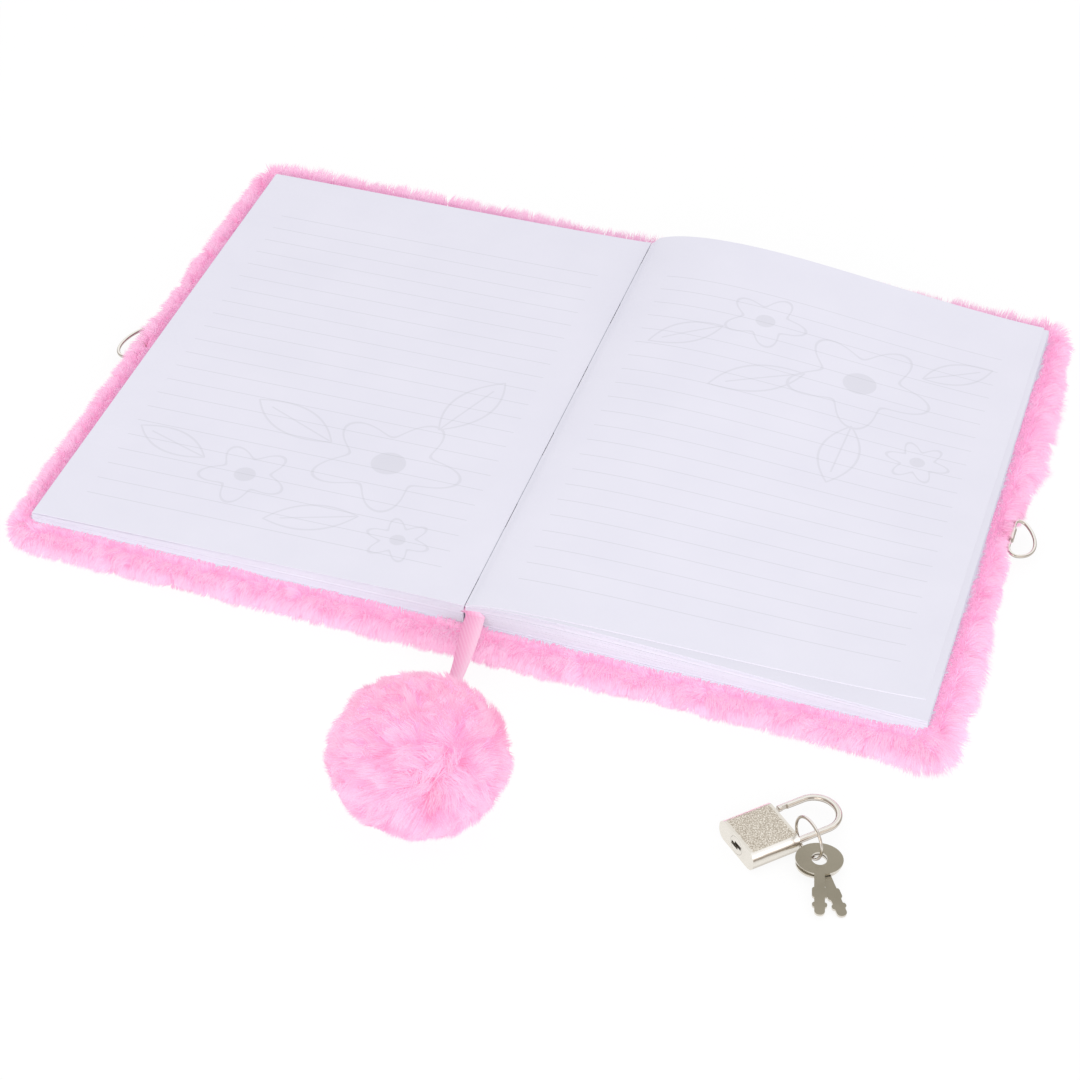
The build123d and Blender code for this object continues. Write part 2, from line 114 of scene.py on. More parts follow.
# A bulge's place, spread and extra growth
BACK_BULGES = ((149.0, 52.0, 27.0, 0.95), (149.0, -72.0, 25.0, 0.7), (147.0, -107.0, 14.0, 0.7))
FRONT_BULGES = ((149.0, -2.5, 10.0, 0.45),)
EDGE_GROWTH = 4.1
HEAD_GROWTH = 7.0
SPINE_FOOT_GROWTH = 3.7
SIGHT_Z = 7.3
SIGHT_SLOPE = 0.84
SIGHT_STRAY = (-0.5, 0.4)
SIGHT_LEAST = LIP_UNDER + 0.3
EDGE_WIDTH = 0.26
OUTSIDE_WIDTH = 0.7
POM_WIDTH = 0.34

# Pom-pom and ribbon, in millimetres
POM_AT = np.array((10.8, -178.4, 22.2))
POM_CORE = np.array((18.6, 18.6, 14.6))
POM_REACH = np.array((28.8, 28.8, 22.8))
POM_CROWN = (0.558, -0.552, 0.620)
RIBBON_START = (3.8, -105.5)
RIBBON_ROUTE = ((0.0, 12.2), (7.0, 11.2), (18.0, 8.6), (31.0, 9.4), (43.0, 14.5), (54.0, 21.0))
RIBBON_WIDTH = 6.0
RIBBON_THICKNESS = 0.36
RIBBON_ENTRY = (10.2, -178.4)
FOLD_SLOT = 12.6
FOLD_INSET = 2.2
TUCK_WIDTH = 2.4
TUCK_HUMP = 0.9

# Padlock, in millimetres and degrees
PADLOCK_AT = (113.2, -152.8)
PADLOCK_TURN = 43.0
PANEL_MIDDLE = -8.0
PANEL_EDGE = (7.0, 7.3)

# Studio, in metres and watts
FLOOR_SIZE = 8.0
FLOOR_DROP = 0.0002
FLOOR_GRAIN = 30.0
FLOOR_DEEP = (0.90, 0.90, 0.90)
FLOOR_PALE = (0.93, 0.93, 0.93)
FLOOR_GLOW = 1.02
FLOOR_WHITENESS = 0.86
DOME = 0.90
LAMP_SIZE = 1.2
LAMPS = (("front_softbox", (0.2, -1.5, 0.42), 9.0), ("side_softbox", (1.5, -0.3, 0.45), 3.6))


def unit(v):
    """Rows of v at length one."""
    return v / np.maximum(np.linalg.norm(v, axis=-1, keepdims=True), 1e-9)


def rows(x, y, z):
    """An array of points from three columns or numbers."""
    return np.stack(np.broadcast_arrays(x, y, z), axis=-1).astype(float)


def smooth_step(value, low, high):
    t = np.clip((value - low) / (high - low), 0, 1)
    return t * t * (3 - 2 * t)


def between(low, high, share):
    return low + (high - low) * share


WAVE_PITCH = (0.05, 0.55)
WAVE_SIZE = (0.4, 1.0)
WAVE_MEAN = 0.7


def waves(s, count, seed):
    """A smooth random line through s, about -1 to 1, made of sines."""
    local = np.random.default_rng(seed)
    total = np.zeros_like(s, dtype=float)
    for _ in range(count):
        pitch = local.uniform(*WAVE_PITCH)
        shift = local.uniform(0, math.tau)
        total += np.sin(s * pitch + shift) * local.uniform(*WAVE_SIZE)
    return total / (WAVE_MEAN * count)


# Materials

STROKE = (0.6, 1.5)


class Tree:
    """An emptied tree of nodes and short ways to add to it."""

    def __init__(self, tree):
        self.tree = tree
        self.tree.nodes.clear()

    def node(self, kind, inputs=None, **settings):
        """Adds a node; its inputs are named or numbered."""
        made = self.tree.nodes.new(kind)
        for key, value in settings.items():
            setattr(made, key, value)
        for key, value in (inputs or {}).items():
            self.put(made.inputs[key], value)
        return made

    def put(self, socket, value):
        """Links a socket, or gives it a plain value."""
        if isinstance(value, bpy.types.NodeSocket):
            self.tree.links.new(value, socket)
        elif socket.type == "RGBA":
            socket.default_value = (*value, 1.0)
        else:
            socket.default_value = value

    def maths(self, operation, *values, clamp=False):
        inputs = dict(enumerate(values))
        return self.node("ShaderNodeMath", inputs, operation=operation, use_clamp=clamp).outputs[0]

    plus = partialmethod(maths, "ADD")
    minus = partialmethod(maths, "SUBTRACT")
    times = partialmethod(maths, "MULTIPLY")
    scaled = partialmethod(maths, "MULTIPLY_ADD")
    size = partialmethod(maths, "ABSOLUTE")
    larger = partialmethod(maths, "MAXIMUM")
    near = partialmethod(maths, "COMPARE")

    def fade(self, value, low, high):
        """1 below low, 0 above high."""
        inputs = {"Value": value, "From Min": low, "From Max": high, "To Min": 1.0, "To Max": 0.0}
        return self.node("ShaderNodeMapRange", inputs, interpolation_type="SMOOTHSTEP").outputs["Result"]

    def mix(self, share, a, b):
        return self.node("ShaderNodeMix", {0: share, 6: a, 7: b}, data_type="RGBA").outputs[2]

    def ramp(self, share, *stops):
        made = self.node("ShaderNodeValToRGB", {"Fac": share})
        points = made.color_ramp.elements
        while len(points) < len(stops):
            points.new(0.5)
        for point, (place, colour) in zip(points, stops):
            point.position = place
            point.color = (*colour, 1.0)
        return made.outputs["Color"]


class Shade(Tree):
    """One procedural material."""

    def __init__(self, name):
        self.material = bpy.data.materials.new(name)
        self.material.use_nodes = True
        super().__init__(self.material.node_tree)
        self.shader = self.node("ShaderNodeBsdfPrincipled")
        self.node("ShaderNodeOutputMaterial", {"Surface": self.shader.outputs["BSDF"]})
        self.coords = self.node("ShaderNodeTexCoord")

    def set(self, **values):
        for key, value in values.items():
            self.put(self.shader.inputs[key.replace("_", " ")], value)

    def noise(self, scale, detail=2.0, stretch=None):
        vector = self.coords.outputs["Object"]
        if stretch:
            vector = self.node("ShaderNodeMapping", {"Vector": vector, "Scale": stretch}).outputs["Vector"]
        inputs = {"Vector": vector, "Scale": scale, "Detail": detail}
        return self.node("ShaderNodeTexNoise", inputs).outputs["Fac"]

    def attribute(self, name):
        return self.node("ShaderNodeAttribute", attribute_name=name).outputs["Fac"]

    def bump(self, height, strength, distance):
        inputs = {"Height": height, "Strength": strength, "Distance": distance}
        self.set(Normal=self.node("ShaderNodeBump", inputs).outputs["Normal"])

    def split(self, coordinates):
        return self.node("ShaderNodeSeparateXYZ", {0: self.coords.outputs[coordinates]}).outputs

    def place(self):
        """Object coordinates x and y, in millimetres."""
        parts = self.split("Object")
        return [self.times(parts[i], 1 / MM) for i in range(2)]

    def turned(self, x, y, at, heading):
        """Places along and across a heading in degrees, from a point."""
        c, s = math.cos(math.radians(heading)), math.sin(math.radians(heading))
        dx = self.minus(x, at[0])
        dy = self.minus(y, at[1])
        along = self.plus(self.times(dx, c), self.times(dy, s))
        across = self.minus(self.times(dy, c), self.times(dx, s))
        return along, across

    def stroke(self, offset, line):
        """A drawn line, 1 where the offset is 0."""
        return self.fade(self.size(offset), line * STROKE[0], line * STROKE[1])


PAGE_DEEP = (0.775, 0.765, 0.862)
PAGE_PALE = (0.825, 0.812, 0.905)
PAGE_SHADED = (0.60, 0.57, 0.66)
PRINT_GREY = (0.53, 0.53, 0.58)
SHADED_SHARE = 0.16
PRINT_SHARE = 0.26
RULE_SHARE = 0.36

# Ruling and print, in millimetres; petals, centres and ribs are shares of their flower or leaf
RULE_PITCH = 8.06
RULE_FIRST = -90.0
RULE_MIDDLE = -5.4
RULE_REACH = 85.2
RULE_CENTRE = 72.5
RULE_HALF = 60.0
RULE_LINE = (0.09, 0.24)
FLOWER_LINE = 0.5
SPRIG_LINE = 0.38
PETAL_DEPTH = 0.22
PETAL_MEAN = 0.78
CENTRE_SIZE = 0.22
SPRIG_REACH = 1.02
RIB_MIDDLE = -0.15
RIB_REACH = 0.8
RIB_STROKE = (0.4, 1.2)


def flower(shade, x, y, at, radius, petals, turn):
    """Outline of one open flower with a round centre."""
    dx = shade.minus(x, at[0])
    dy = shade.minus(y, at[1])
    far = shade.maths("SQRT", shade.plus(shade.times(dx, dx), shade.times(dy, dy)))
    angle = shade.scaled(shade.maths("ARCTAN2", dy, dx), float(petals), turn)
    edge = shade.scaled(shade.maths("COSINE", angle), radius * PETAL_DEPTH, radius * PETAL_MEAN)
    centre = shade.fade(far, radius * CENTRE_SIZE, radius * CENTRE_SIZE + FLOWER_LINE)
    return shade.larger(shade.stroke(shade.minus(far, edge), FLOWER_LINE), centre)


def sprig_leaf(shade, x, y, at, heading, length, half_width):
    """Outline of one pointed leaf with its midrib."""
    along, across = shade.turned(x, y, at, heading)
    across = shade.size(across)
    share = shade.times(along, 2.0 / length)
    edge = shade.scaled(shade.times(share, share), -half_width, half_width)
    outline = shade.stroke(shade.minus(across, edge), SPRIG_LINE)
    outline = shade.times(outline, shade.near(share, 0.0, SPRIG_REACH))
    rib = shade.fade(across, SPRIG_LINE * RIB_STROKE[0], SPRIG_LINE * RIB_STROKE[1])
    return shade.larger(outline, shade.times(rib, shade.near(share, RIB_MIDDLE, RIB_REACH)))


def paper(name, side, flowers=(), sprigs=()):
    """Ruled paper for the left (-1) or right (1) side; an attribute tells the leaves of a block apart."""
    shade = Shade(name)
    x, y = shade.place()
    colour = shade.mix(shade.noise(45.0, 3.0), PAGE_DEEP, PAGE_PALE)
    colour = shade.mix(shade.times(shade.attribute("tint"), SHADED_SHARE), colour, PAGE_SHADED)
    step = shade.maths("WRAP", shade.minus(y, RULE_FIRST), RULE_PITCH / 2, -RULE_PITCH / 2)
    rule = shade.fade(shade.size(step), *RULE_LINE)
    rule = shade.times(rule, shade.near(x, side * RULE_CENTRE, RULE_HALF))
    rule = shade.times(rule, shade.near(y, RULE_MIDDLE, RULE_REACH))
    drawn = 0.0
    for one in flowers:
        drawn = shade.larger(drawn, flower(shade, x, y, *one))
    for one in sprigs:
        drawn = shade.larger(drawn, sprig_leaf(shade, x, y, *one))
    colour = shade.mix(shade.times(drawn, PRINT_SHARE), colour, PRINT_GREY)
    colour = shade.mix(shade.times(rule, RULE_SHARE), colour, PRINT_GREY)
    shade.set(Base_Color=colour, Roughness=0.82, Specular_IOR_Level=0.25)
    shade.bump(shade.noise(900.0, 4.0), 0.12, 0.0002)
    return shade.material


# A flower's place, radius, petals and turn; a sprig leaf's place, heading, length and half width
LEFT_FLOWERS = (
    ((-46.0, -46.0), 25.0, 5, 0.4), ((-88.0, -66.0), 15.0, 5, 1.7), ((-30.0, -82.0), 10.5, 6, 0.9),
)
LEFT_SPRIGS = (
    ((-83.0, -34.0), 155.0, 34.0, 7.0), ((-60.0, -80.0), 200.0, 30.0, 6.2),
    ((-117.0, -57.0), 160.0, 28.0, 5.6), ((-30.0, -8.0), 68.0, 34.0, 6.8),
)
RIGHT_FLOWERS = (
    ((90.0, 44.0), 25.0, 5, 0.9), ((52.0, 64.0), 14.5, 5, 0.2), ((117.0, 10.0), 10.5, 6, 0.5),
)
RIGHT_SPRIGS = (
    ((57.0, 32.0), 212.0, 34.0, 6.8), ((92.0, 4.0), 268.0, 32.0, 6.4),
    ((120.0, 64.0), 35.0, 26.0, 5.6), ((28.0, 48.0), 215.0, 27.0, 5.4),
)
left_paper = paper("ruled_paper_left", -1, LEFT_FLOWERS, LEFT_SPRIGS)
right_paper = paper("ruled_paper_right", 1, RIGHT_FLOWERS, RIGHT_SPRIGS)
block_papers = {-1: paper("block_paper_left", -1), 1: paper("block_paper_right", 1)}


def mottled(name, grain, deep, pale, relief, **surface):
    """A matt surface that wanders between two tones; relief is its bump's grain, strength and height."""
    shade = Shade(name)
    shade.set(Base_Color=shade.mix(shade.noise(*grain), deep, pale), **surface)
    shade.bump(shade.noise(relief[0], 4.0), *relief[1:])
    return shade.material


def cloth(name, deep, pale, scale):
    """Woven threads, for the lining and the sewing."""
    shade = Shade(name)
    warp = shade.noise(scale, 2.0, (1.0, 0.2, 1.0))
    weft = shade.noise(scale, 2.0, (0.2, 1.0, 1.0))
    weave = shade.times(warp, weft)
    shade.set(Base_Color=shade.mix(shade.times(weave, 2.0, clamp=True), deep, pale), Roughness=0.9)
    shade.bump(weave, 0.5, 0.0004)
    return shade.material


# Hair colours: the dark root is painted shade deep in the pile, the pale tip a painted highlight
FUR_ROOT_SHADED = (0.95, 0.33, 0.59)
FUR_MIDDLE = (0.98, 0.475, 0.72)
FUR_TIP_LIT = (0.985, 0.605, 0.80)
POM_ROOT_SHADED = (0.94, 0.25, 0.49)
POM_MIDDLE = (0.97, 0.37, 0.61)
POM_TIP_LIT = (0.985, 0.55, 0.735)
DEEP_SHARE = 0.55
PALE_SHARE = 0.6


def fur(name, root, middle, tip):
    """Strand material: a dark root of painted shade, a pale tip of painted highlight, a little different from
    hair to hair.
    """
    shade = Shade(name)
    tint = shade.attribute("tint")
    colour = shade.ramp(shade.attribute("along"), (0.0, root), (0.45, middle), (1.0, tip))
    # A low tint mixes in more of the painted-shade root colour, a high tint more of the painted-highlight tip
    colour = shade.mix(shade.times(shade.fade(tint, 0.0, 0.5), DEEP_SHARE), colour, root)
    pale = shade.minus(PALE_SHARE, shade.times(shade.fade(tint, 0.5, 1.0), PALE_SHARE))
    shade.set(Base_Color=shade.mix(pale, colour, tip), Roughness=0.8, Specular_IOR_Level=0.15)
    return shade.material


plush_hair = fur("plush_hair", FUR_ROOT_SHADED, FUR_MIDDLE, FUR_TIP_LIT)
pom_hair = fur("pom_hair", POM_ROOT_SHADED, POM_MIDDLE, POM_TIP_LIT)
plush_base = mottled(
    "plush_backing", (220.0, 4.0), FUR_ROOT_SHADED, FUR_MIDDLE, (900.0, 0.7, 0.0008), Roughness=0.9, Sheen_Weight=0.3
)

# Painted reflection of a metal: bright and dark bands from downward (0) to upward (1) faces
PAINTED_REFLECTION = (
    (0.0, (0.50, 0.46, 0.41)), (0.40, (0.62, 0.57, 0.50)), (0.50, (0.84, 0.80, 0.73)),
    (0.58, (0.74, 0.70, 0.63)), (0.66, (0.36, 0.31, 0.26)), (0.73, (0.32, 0.27, 0.23)),
    (0.81, (0.82, 0.78, 0.72)), (0.90, (0.98, 0.95, 0.91)), (1.0, (0.86, 0.83, 0.78)),
)
# Painted reflection bands for round wire
WIRE_PAINTED_REFLECTION = (
    (0.0, (0.44, 0.40, 0.35)), (0.34, (0.36, 0.31, 0.27)), (0.50, (0.60, 0.55, 0.49)),
    (0.60, (0.80, 0.76, 0.70)), (0.72, (0.40, 0.35, 0.30)), (0.82, (0.30, 0.25, 0.21)),
    (0.90, (0.56, 0.51, 0.45)), (0.96, (0.96, 0.93, 0.88)), (1.0, (0.78, 0.74, 0.68)),
)
# A flat face's two tints and its roughness
CASE_FACE = ((0.72, 0.68, 0.61), (0.84, 0.80, 0.73), 0.16)
KEY_FACE = ((0.25, 0.225, 0.17), (0.47, 0.43, 0.345), 0.42)
PLUG_FACE = ((0.60, 0.56, 0.50), (0.74, 0.70, 0.63), 0.3)
WORKS_FACE = ((0.34, 0.28, 0.18), (0.46, 0.38, 0.24), 0.35)
FLAT_FACING = (0.9, 0.985)
PANEL_FACING = 0.85
PANEL_ROUGHER = 0.28
FROST_GRAIN = 2600.0
FROST = ((0.36, (0.44, 0.39, 0.32)), (0.52, (0.64, 0.58, 0.49)), (0.66, (0.92, 0.88, 0.80)))
TONE_WANDER = 0.1
ROUGH_WANDER = 0.12


def polished(name, roughness, grain, reflection=PAINTED_REFLECTION, face=None):
    """Plated metal with a polished round's light and dark painted reflection; a flat face may have its own
    look.
    """
    shade = Shade(name)
    up = shade.split("Normal")[2]
    # Colour by facing, a little wandering: painted reflection bands
    wander = shade.scaled(shade.noise(grain, 3.0), TONE_WANDER, -TONE_WANDER / 2)
    colour = shade.ramp(shade.plus(shade.scaled(up, 0.5, 0.5), wander), *reflection)
    rough = shade.scaled(shade.noise(grain * 2, 3.0), ROUGH_WANDER, roughness)
    if face:
        deep, pale, face_rough = face
        flat = shade.minus(1.0, shade.fade(shade.size(up), *FLAT_FACING))
        colour = shade.mix(flat, colour, shade.mix(shade.noise(grain * 0.5, 2.0), deep, pale))
        rough = shade.plus(rough, shade.times(flat, face_rough - roughness))
    shade.set(Base_Color=colour, Roughness=rough, Metallic=1.0)
    shade.bump(shade.noise(grain * 9, 3.0), 0.1, 0.0001)
    return shade


def frosted_case():
    """The padlock's case: a frosted panel on the big faces, with polished borders and sides of painted
    reflection.
    """
    shade = polished("frosted_case", 0.12, 260.0, face=CASE_FACE)
    across, along = shade.turned(*shade.place(), PADLOCK_AT, -PADLOCK_TURN)
    panel = shade.fade(shade.size(across), *PANEL_EDGE)
    along = shade.size(shade.minus(along, PANEL_MIDDLE))
    panel = shade.times(panel, shade.fade(along, *PANEL_EDGE))
    facing = shade.size(shade.split("Normal")[2])
    panel = shade.times(panel, shade.maths("GREATER_THAN", facing, PANEL_FACING))
    colour = shade.shader.inputs["Base Color"].links[0].from_socket
    rough = shade.shader.inputs["Roughness"].links[0].from_socket
    frost = shade.ramp(shade.noise(FROST_GRAIN, 2.0), *FROST)
    shade.set(Base_Color=shade.mix(panel, colour, frost))
    shade.set(Roughness=shade.plus(rough, shade.times(panel, PANEL_ROUGHER)))
    return shade.material


# Painted shade and light across the ribbon: darker at one edge, lighter towards the other
RIBBON_FOLD_LIGHT_AND_SHADE = ((0.0, (0.80, 0.27, 0.49)), (0.5, (0.92, 0.40, 0.62)), (0.85, (0.98, 0.56, 0.75)))
TWILL_TONE = (1.0, 0.72, 0.85)
TWILL_SHARE = 0.22
TWILL_X = 5.2
TWILL_Y = 3.4


def satin():
    """Ribbon: fine slanting twill, with painted shade on one side of the lengthwise crease and painted light
    on the other.
    """
    shade = Shade("ribbon_satin")
    x, y = shade.place()
    slant = shade.plus(shade.times(x, TWILL_X), shade.times(y, TWILL_Y))
    twill = shade.scaled(shade.maths("SINE", slant), 0.5, 0.5)
    colour = shade.ramp(shade.attribute("across"), *RIBBON_FOLD_LIGHT_AND_SHADE)
    colour = shade.mix(shade.times(twill, TWILL_SHARE), colour, TWILL_TONE)
    shade.set(Base_Color=colour, Roughness=0.42, Sheen_Weight=0.3)
    shade.bump(twill, 0.35, 0.0002)
    return shade.material


def dress(material, slot, *names):
    """Gives CAD nodes their finish."""
    for name in names:
        NODES[name].data.materials.clear()
        NODES[name].data.materials.append(material)


grey_board = mottled(
    "grey_board", (300.0, 5.0), (0.36, 0.32, 0.27), (0.55, 0.50, 0.44), (1500.0, 0.3, 0.0003), Roughness=0.9
)
endpaper = mottled(
    "endpaper_paper", (60.0, 3.0), (0.77, 0.73, 0.83), (0.83, 0.79, 0.88), (700.0, 0.15, 0.0002),
    Roughness=0.8, Specular_IOR_Level=0.25,
)
nickel = polished("bright_nickel", 0.08, 240.0, WIRE_PAINTED_REFLECTION).material
key_metal = polished("key_steel", 0.16, 110.0, face=KEY_FACE).material
plug_metal = polished("plug_nickel", 0.14, 260.0, face=PLUG_FACE).material
works_metal = polished("lock_works", 0.3, 300.0, face=WORKS_FACE).material

dress(grey_board, "board", "back_board", "front_board", "spine_board")
dress(endpaper, "endpaper", "back_pastedown", "front_pastedown")
dress(cloth("lining_cloth", (0.55, 0.53, 0.48), (0.80, 0.78, 0.73), 2200.0), "lining", "spine_lining")
dress(cloth("sewing_cotton", (0.34, 0.35, 0.42), (0.56, 0.57, 0.64), 3000.0), "thread", "sewing_thread")
dress(nickel, "nickel", "back_ring_tab", "front_ring_tab", "back_ring_rivet", "front_ring_rivet")
dress(nickel, "nickel", "back_lock_ring", "front_lock_ring", "padlock_shackle", "key_ring")
dress(frosted_case(), "lock_case", "padlock_case")
dress(plug_metal, "lock_works", "padlock_plug")
dress(works_metal, "lock_works", "padlock_latch", "padlock_stop_ring")
dress(key_metal, "key", "key_1", "key_2")


# Meshes


def mesh_object(name, points, quads, triangles, material, **values):
    """An object from points in millimetres; values are float attributes of the points."""
    mesh = bpy.data.meshes.new(name)
    points = np.asarray(points, float).reshape(-1, 3)
    quads = np.asarray(quads, np.int32).reshape(-1, 4)
    triangles = np.asarray(triangles, np.int32).reshape(-1, 3)
    mesh.vertices.add(len(points))
    mesh.vertices.foreach_set("co", (points * MM).astype(np.float32).ravel())
    mesh.loops.add(quads.size + triangles.size)
    mesh.loops.foreach_set("vertex_index", np.concatenate([quads.ravel(), triangles.ravel()]))
    mesh.polygons.add(len(quads) + len(triangles))
    starts = np.concatenate([np.arange(len(quads)) * 4, quads.size + np.arange(len(triangles)) * 3])
    mesh.polygons.foreach_set("loop_start", starts.astype(np.int32))
    for key, value in values.items():
        made = mesh.attributes.new(key, "FLOAT", "POINT")
        made.data.foreach_set("value", np.broadcast_to(value, len(points)).astype(np.float32).copy())
    mesh.update(calc_edges=True)
    mesh.validate()
    mesh.materials.append(material)
    obj = bpy.data.objects.new(name, mesh)
    scene.collection.objects.link(obj)
    return obj


def closed_object(name, points, quads, material, crease=40.0, fill=False, **values):
    """A closed object with outward faces; fill closes its open ends, and edges past the crease stay crisp."""
    obj = mesh_object(name, points, quads, [], material, **values)
    bpy.ops.object.select_all(action="DESELECT")
    obj.select_set(True)
    bpy.context.view_layer.objects.active = obj
    bpy.ops.object.mode_set(mode="EDIT")
    bpy.ops.mesh.select_all(action="SELECT")
    if fill:
        bpy.ops.mesh.fill_holes(sides=0)
    bpy.ops.mesh.normals_make_consistent(inside=False)
    bpy.ops.object.mode_set(mode="OBJECT")
    bpy.ops.object.shade_smooth_by_angle(angle=math.radians(crease))
    obj.select_set(False)
    return obj


def slab(lower, upper):
    """Points and faces of a closed sheet between two grids of points."""
    lines, columns = lower.shape[:2]
    points = np.concatenate([lower.reshape(-1, 3), upper.reshape(-1, 3)])
    lift = lines * columns
    index = np.arange(lift).reshape(lines, columns)
    a, b, c, d = index[:-1, :-1], index[1:, :-1], index[1:, 1:], index[:-1, 1:]
    top = np.stack([a, b, c, d], -1).reshape(-1, 4) + lift
    bottom = np.stack([a, d, c, b], -1).reshape(-1, 4)
    rim = np.concatenate([index[:, 0], index[-1, 1:], index[-2::-1, -1], index[0, -2:0:-1]])
    after = np.roll(rim, -1)
    sides = np.stack([rim, after, after + lift, rim + lift], -1)
    return points, np.concatenate([top, bottom, sides])


# Pages

SWELL_START = (-0.002, 0.018)
SWELL_RISE = 0.6
SWELL_FALL = 1.8
SWELL_PEAK = 0.2593
GUTTER_CROWDING = 1.35
SECTION_GRID = (34, 6)
LEAF_GRID = (72, 22)
LEAF_BOTTOM = 0.04
LEAF_TOP = 0.86
SECTION_RIPPLE = 0.02
LEAF_RIPPLE = 0.05
LIFT_CURVE = 1.6


def page_height(u, fore, hump):
    """A page's height from fold to fore edge; its hump starts gently, to clear the page across the fold."""
    swell = smooth_step(u, *SWELL_START) * u**SWELL_RISE * (1 - u) ** SWELL_FALL / SWELL_PEAK
    return GUTTER_RISE * (1 - u) + fore * u + hump * swell


def page_grid(across, along):
    """Shares across and along a page, closer together at the fold."""
    u = np.linspace(0, 1, across) ** GUTTER_CROWDING
    v = np.linspace(0, 1, along)
    return np.meshgrid(u, v, indexing="ij")


def signature(name, side, count, number, leaves, fore, humps):
    """One sewn section: a few thin leaves, each a little out of line with the next."""
    points, quads, tints = [], [], []
    u, v = page_grid(*SECTION_GRID)
    height = page_height(u, fore, between(*humps, v))
    for i in range(leaves):
        low = (number + (i + LEAF_BOTTOM) / leaves) / count
        high = (number + (i + LEAF_TOP) / leaves) / count
        short = rng.uniform(0.0, FORE_TRIM)
        foot = PAGE_FOOT + rng.uniform(0.0, END_TRIM)
        head = PAGE_HEAD - rng.uniform(0.0, END_TRIM)
        x = side * (BLOCK_START + u * (BLOCK_RUN - short))
        y = between(foot, head, v)
        wave = SECTION_RIPPLE * np.sin(v * 9 + i * 1.7 + number) * u
        lower = rows(x, y, BLOCK_FLOOR + low * height + wave)
        upper = rows(x, y, BLOCK_FLOOR + high * height + wave)
        part, faces = slab(lower, upper)
        points.append(part)
        quads.append(faces + i * len(part))
        tints.append(np.full(len(part), rng.uniform(0, 1)))
    points, quads, tints = (np.concatenate(group) for group in (points, quads, tints))
    return closed_object(name, points, quads, block_papers[side], tint=tints)


def loose_leaf(name, side, run, fore, humps, lifts, material):
    """One leaf with its own curl."""
    u, v = page_grid(*LEAF_GRID)
    lift = between(*lifts, v) * u**LIFT_CURVE
    z = LEAF_FLOOR + page_height(u, fore, between(*humps, v)) + lift
    z = z + LEAF_RIPPLE * np.sin(u * 11 + v * 4) * u
    x = side * (LEAF_START + u * run)
    y = between(PAGE_FOOT, PAGE_HEAD, v)
    points, quads = slab(rows(x, y, z), rows(x, y, z + PAPER))
    return closed_object(name, points, quads, material, tint=0.0)


RIGHT_SECTIONS = 5
LEFT_SECTIONS = 4
for k in range(RIGHT_SECTIONS):
    pages = signature(f"right_pages_{k + 1}", 1, RIGHT_SECTIONS, k, *RIGHT_SECTION)
    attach(pages, "back_cover")
    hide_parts(f"right_signature_{k + 1}")
for k in range(LEFT_SECTIONS):
    pages = signature(f"left_pages_{k + 1}", -1, LEFT_SECTIONS, k, *LEFT_SECTION)
    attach(pages, "front_cover")
    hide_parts(f"left_signature_{k + 1}")
right_page = loose_leaf("right_page", 1, *RIGHT_LEAF, right_paper)
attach(right_page, "right_leaf")
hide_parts("right_leaf")
right_page.visible_diffuse = False
left_page = loose_leaf("left_page", -1, *LEFT_LEAF, left_paper)
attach(left_page, "left_leaf")
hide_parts("left_leaf")


# Fur strands

MIDDLE_WIDTH = 0.44
TUFT_EDGE = 92
# Where a strand's sides and foot lie in its own cell of the texture
CELL_SIDES = ((0.08, 0.34), (0.36, 0.62), (0.64, 0.90))
CELL_LEVELS = (0.12, 0.5, 0.94)
CELL_FOOT = [(0.08, 0.06), (0.2, 0.06), (0.14, 0.1)]


def strand_object(name, roots, middles, tips, widths, tints, material):
    """Hairs as closed three-sided tapers, with an even grid of texture cells."""
    n = len(roots)
    axis = unit(tips - roots)
    helper = np.where(np.abs(axis[:, 2:3]) < 0.9, rows(0, 0, 1), rows(1, 0, 0))
    a = unit(np.cross(axis, helper))
    b = np.cross(axis, a)
    turn = rng.uniform(0, math.tau, n)
    points = np.zeros((n, 7, 3))
    for i in range(3):
        angle = turn + i * math.tau / 3
        ring = a * np.cos(angle)[:, None] + b * np.sin(angle)[:, None]
        points[:, i] = roots + ring * widths[:, None] * 0.5
        points[:, 3 + i] = middles + ring * widths[:, None] * MIDDLE_WIDTH
    points[:, 6] = tips
    points[:, :, 2] = np.maximum(points[:, :, 2], FUR_FLOOR / 2)
    base = (np.arange(n) * 7)[:, None]
    sides = [base + np.array([i, (i + 1) % 3, 3 + (i + 1) % 3, 3 + i]) for i in range(3)]
    quads = np.concatenate(sides, axis=1)
    ends = [base + np.array([3 + i, 3 + (i + 1) % 3, 6]) for i in range(3)]
    triangles = np.concatenate(ends + [base + np.array([0, 2, 1])], axis=1)
    along = np.tile(np.array([0, 0, 0, 0.5, 0.5, 0.5, 1.0]), n)
    obj = mesh_object(name, points, quads, triangles, material, along=along, tint=np.repeat(tints, 7))
    obj.data.shade_flat()
    columns = math.ceil(math.sqrt(n))
    corner = np.stack([np.arange(n) % columns, np.arange(n) // columns], -1)[:, None, :]
    quad_cell, tip_cell = [], []
    root, middle, tip = CELL_LEVELS
    for left, right in CELL_SIDES:
        quad_cell += [(left, root), (right, root), (right, middle), (left, middle)]
        tip_cell += [(left, middle), (right, middle), ((left + right) / 2, tip)]
    cells = [(corner + np.array(cell)[None]) / columns for cell in (quad_cell, tip_cell + CELL_FOOT)]
    layer = obj.data.uv_layers.new(name="OFBake")
    layer.uv.foreach_set("vector", np.concatenate([cell.ravel() for cell in cells]).astype(np.float32))
    return obj


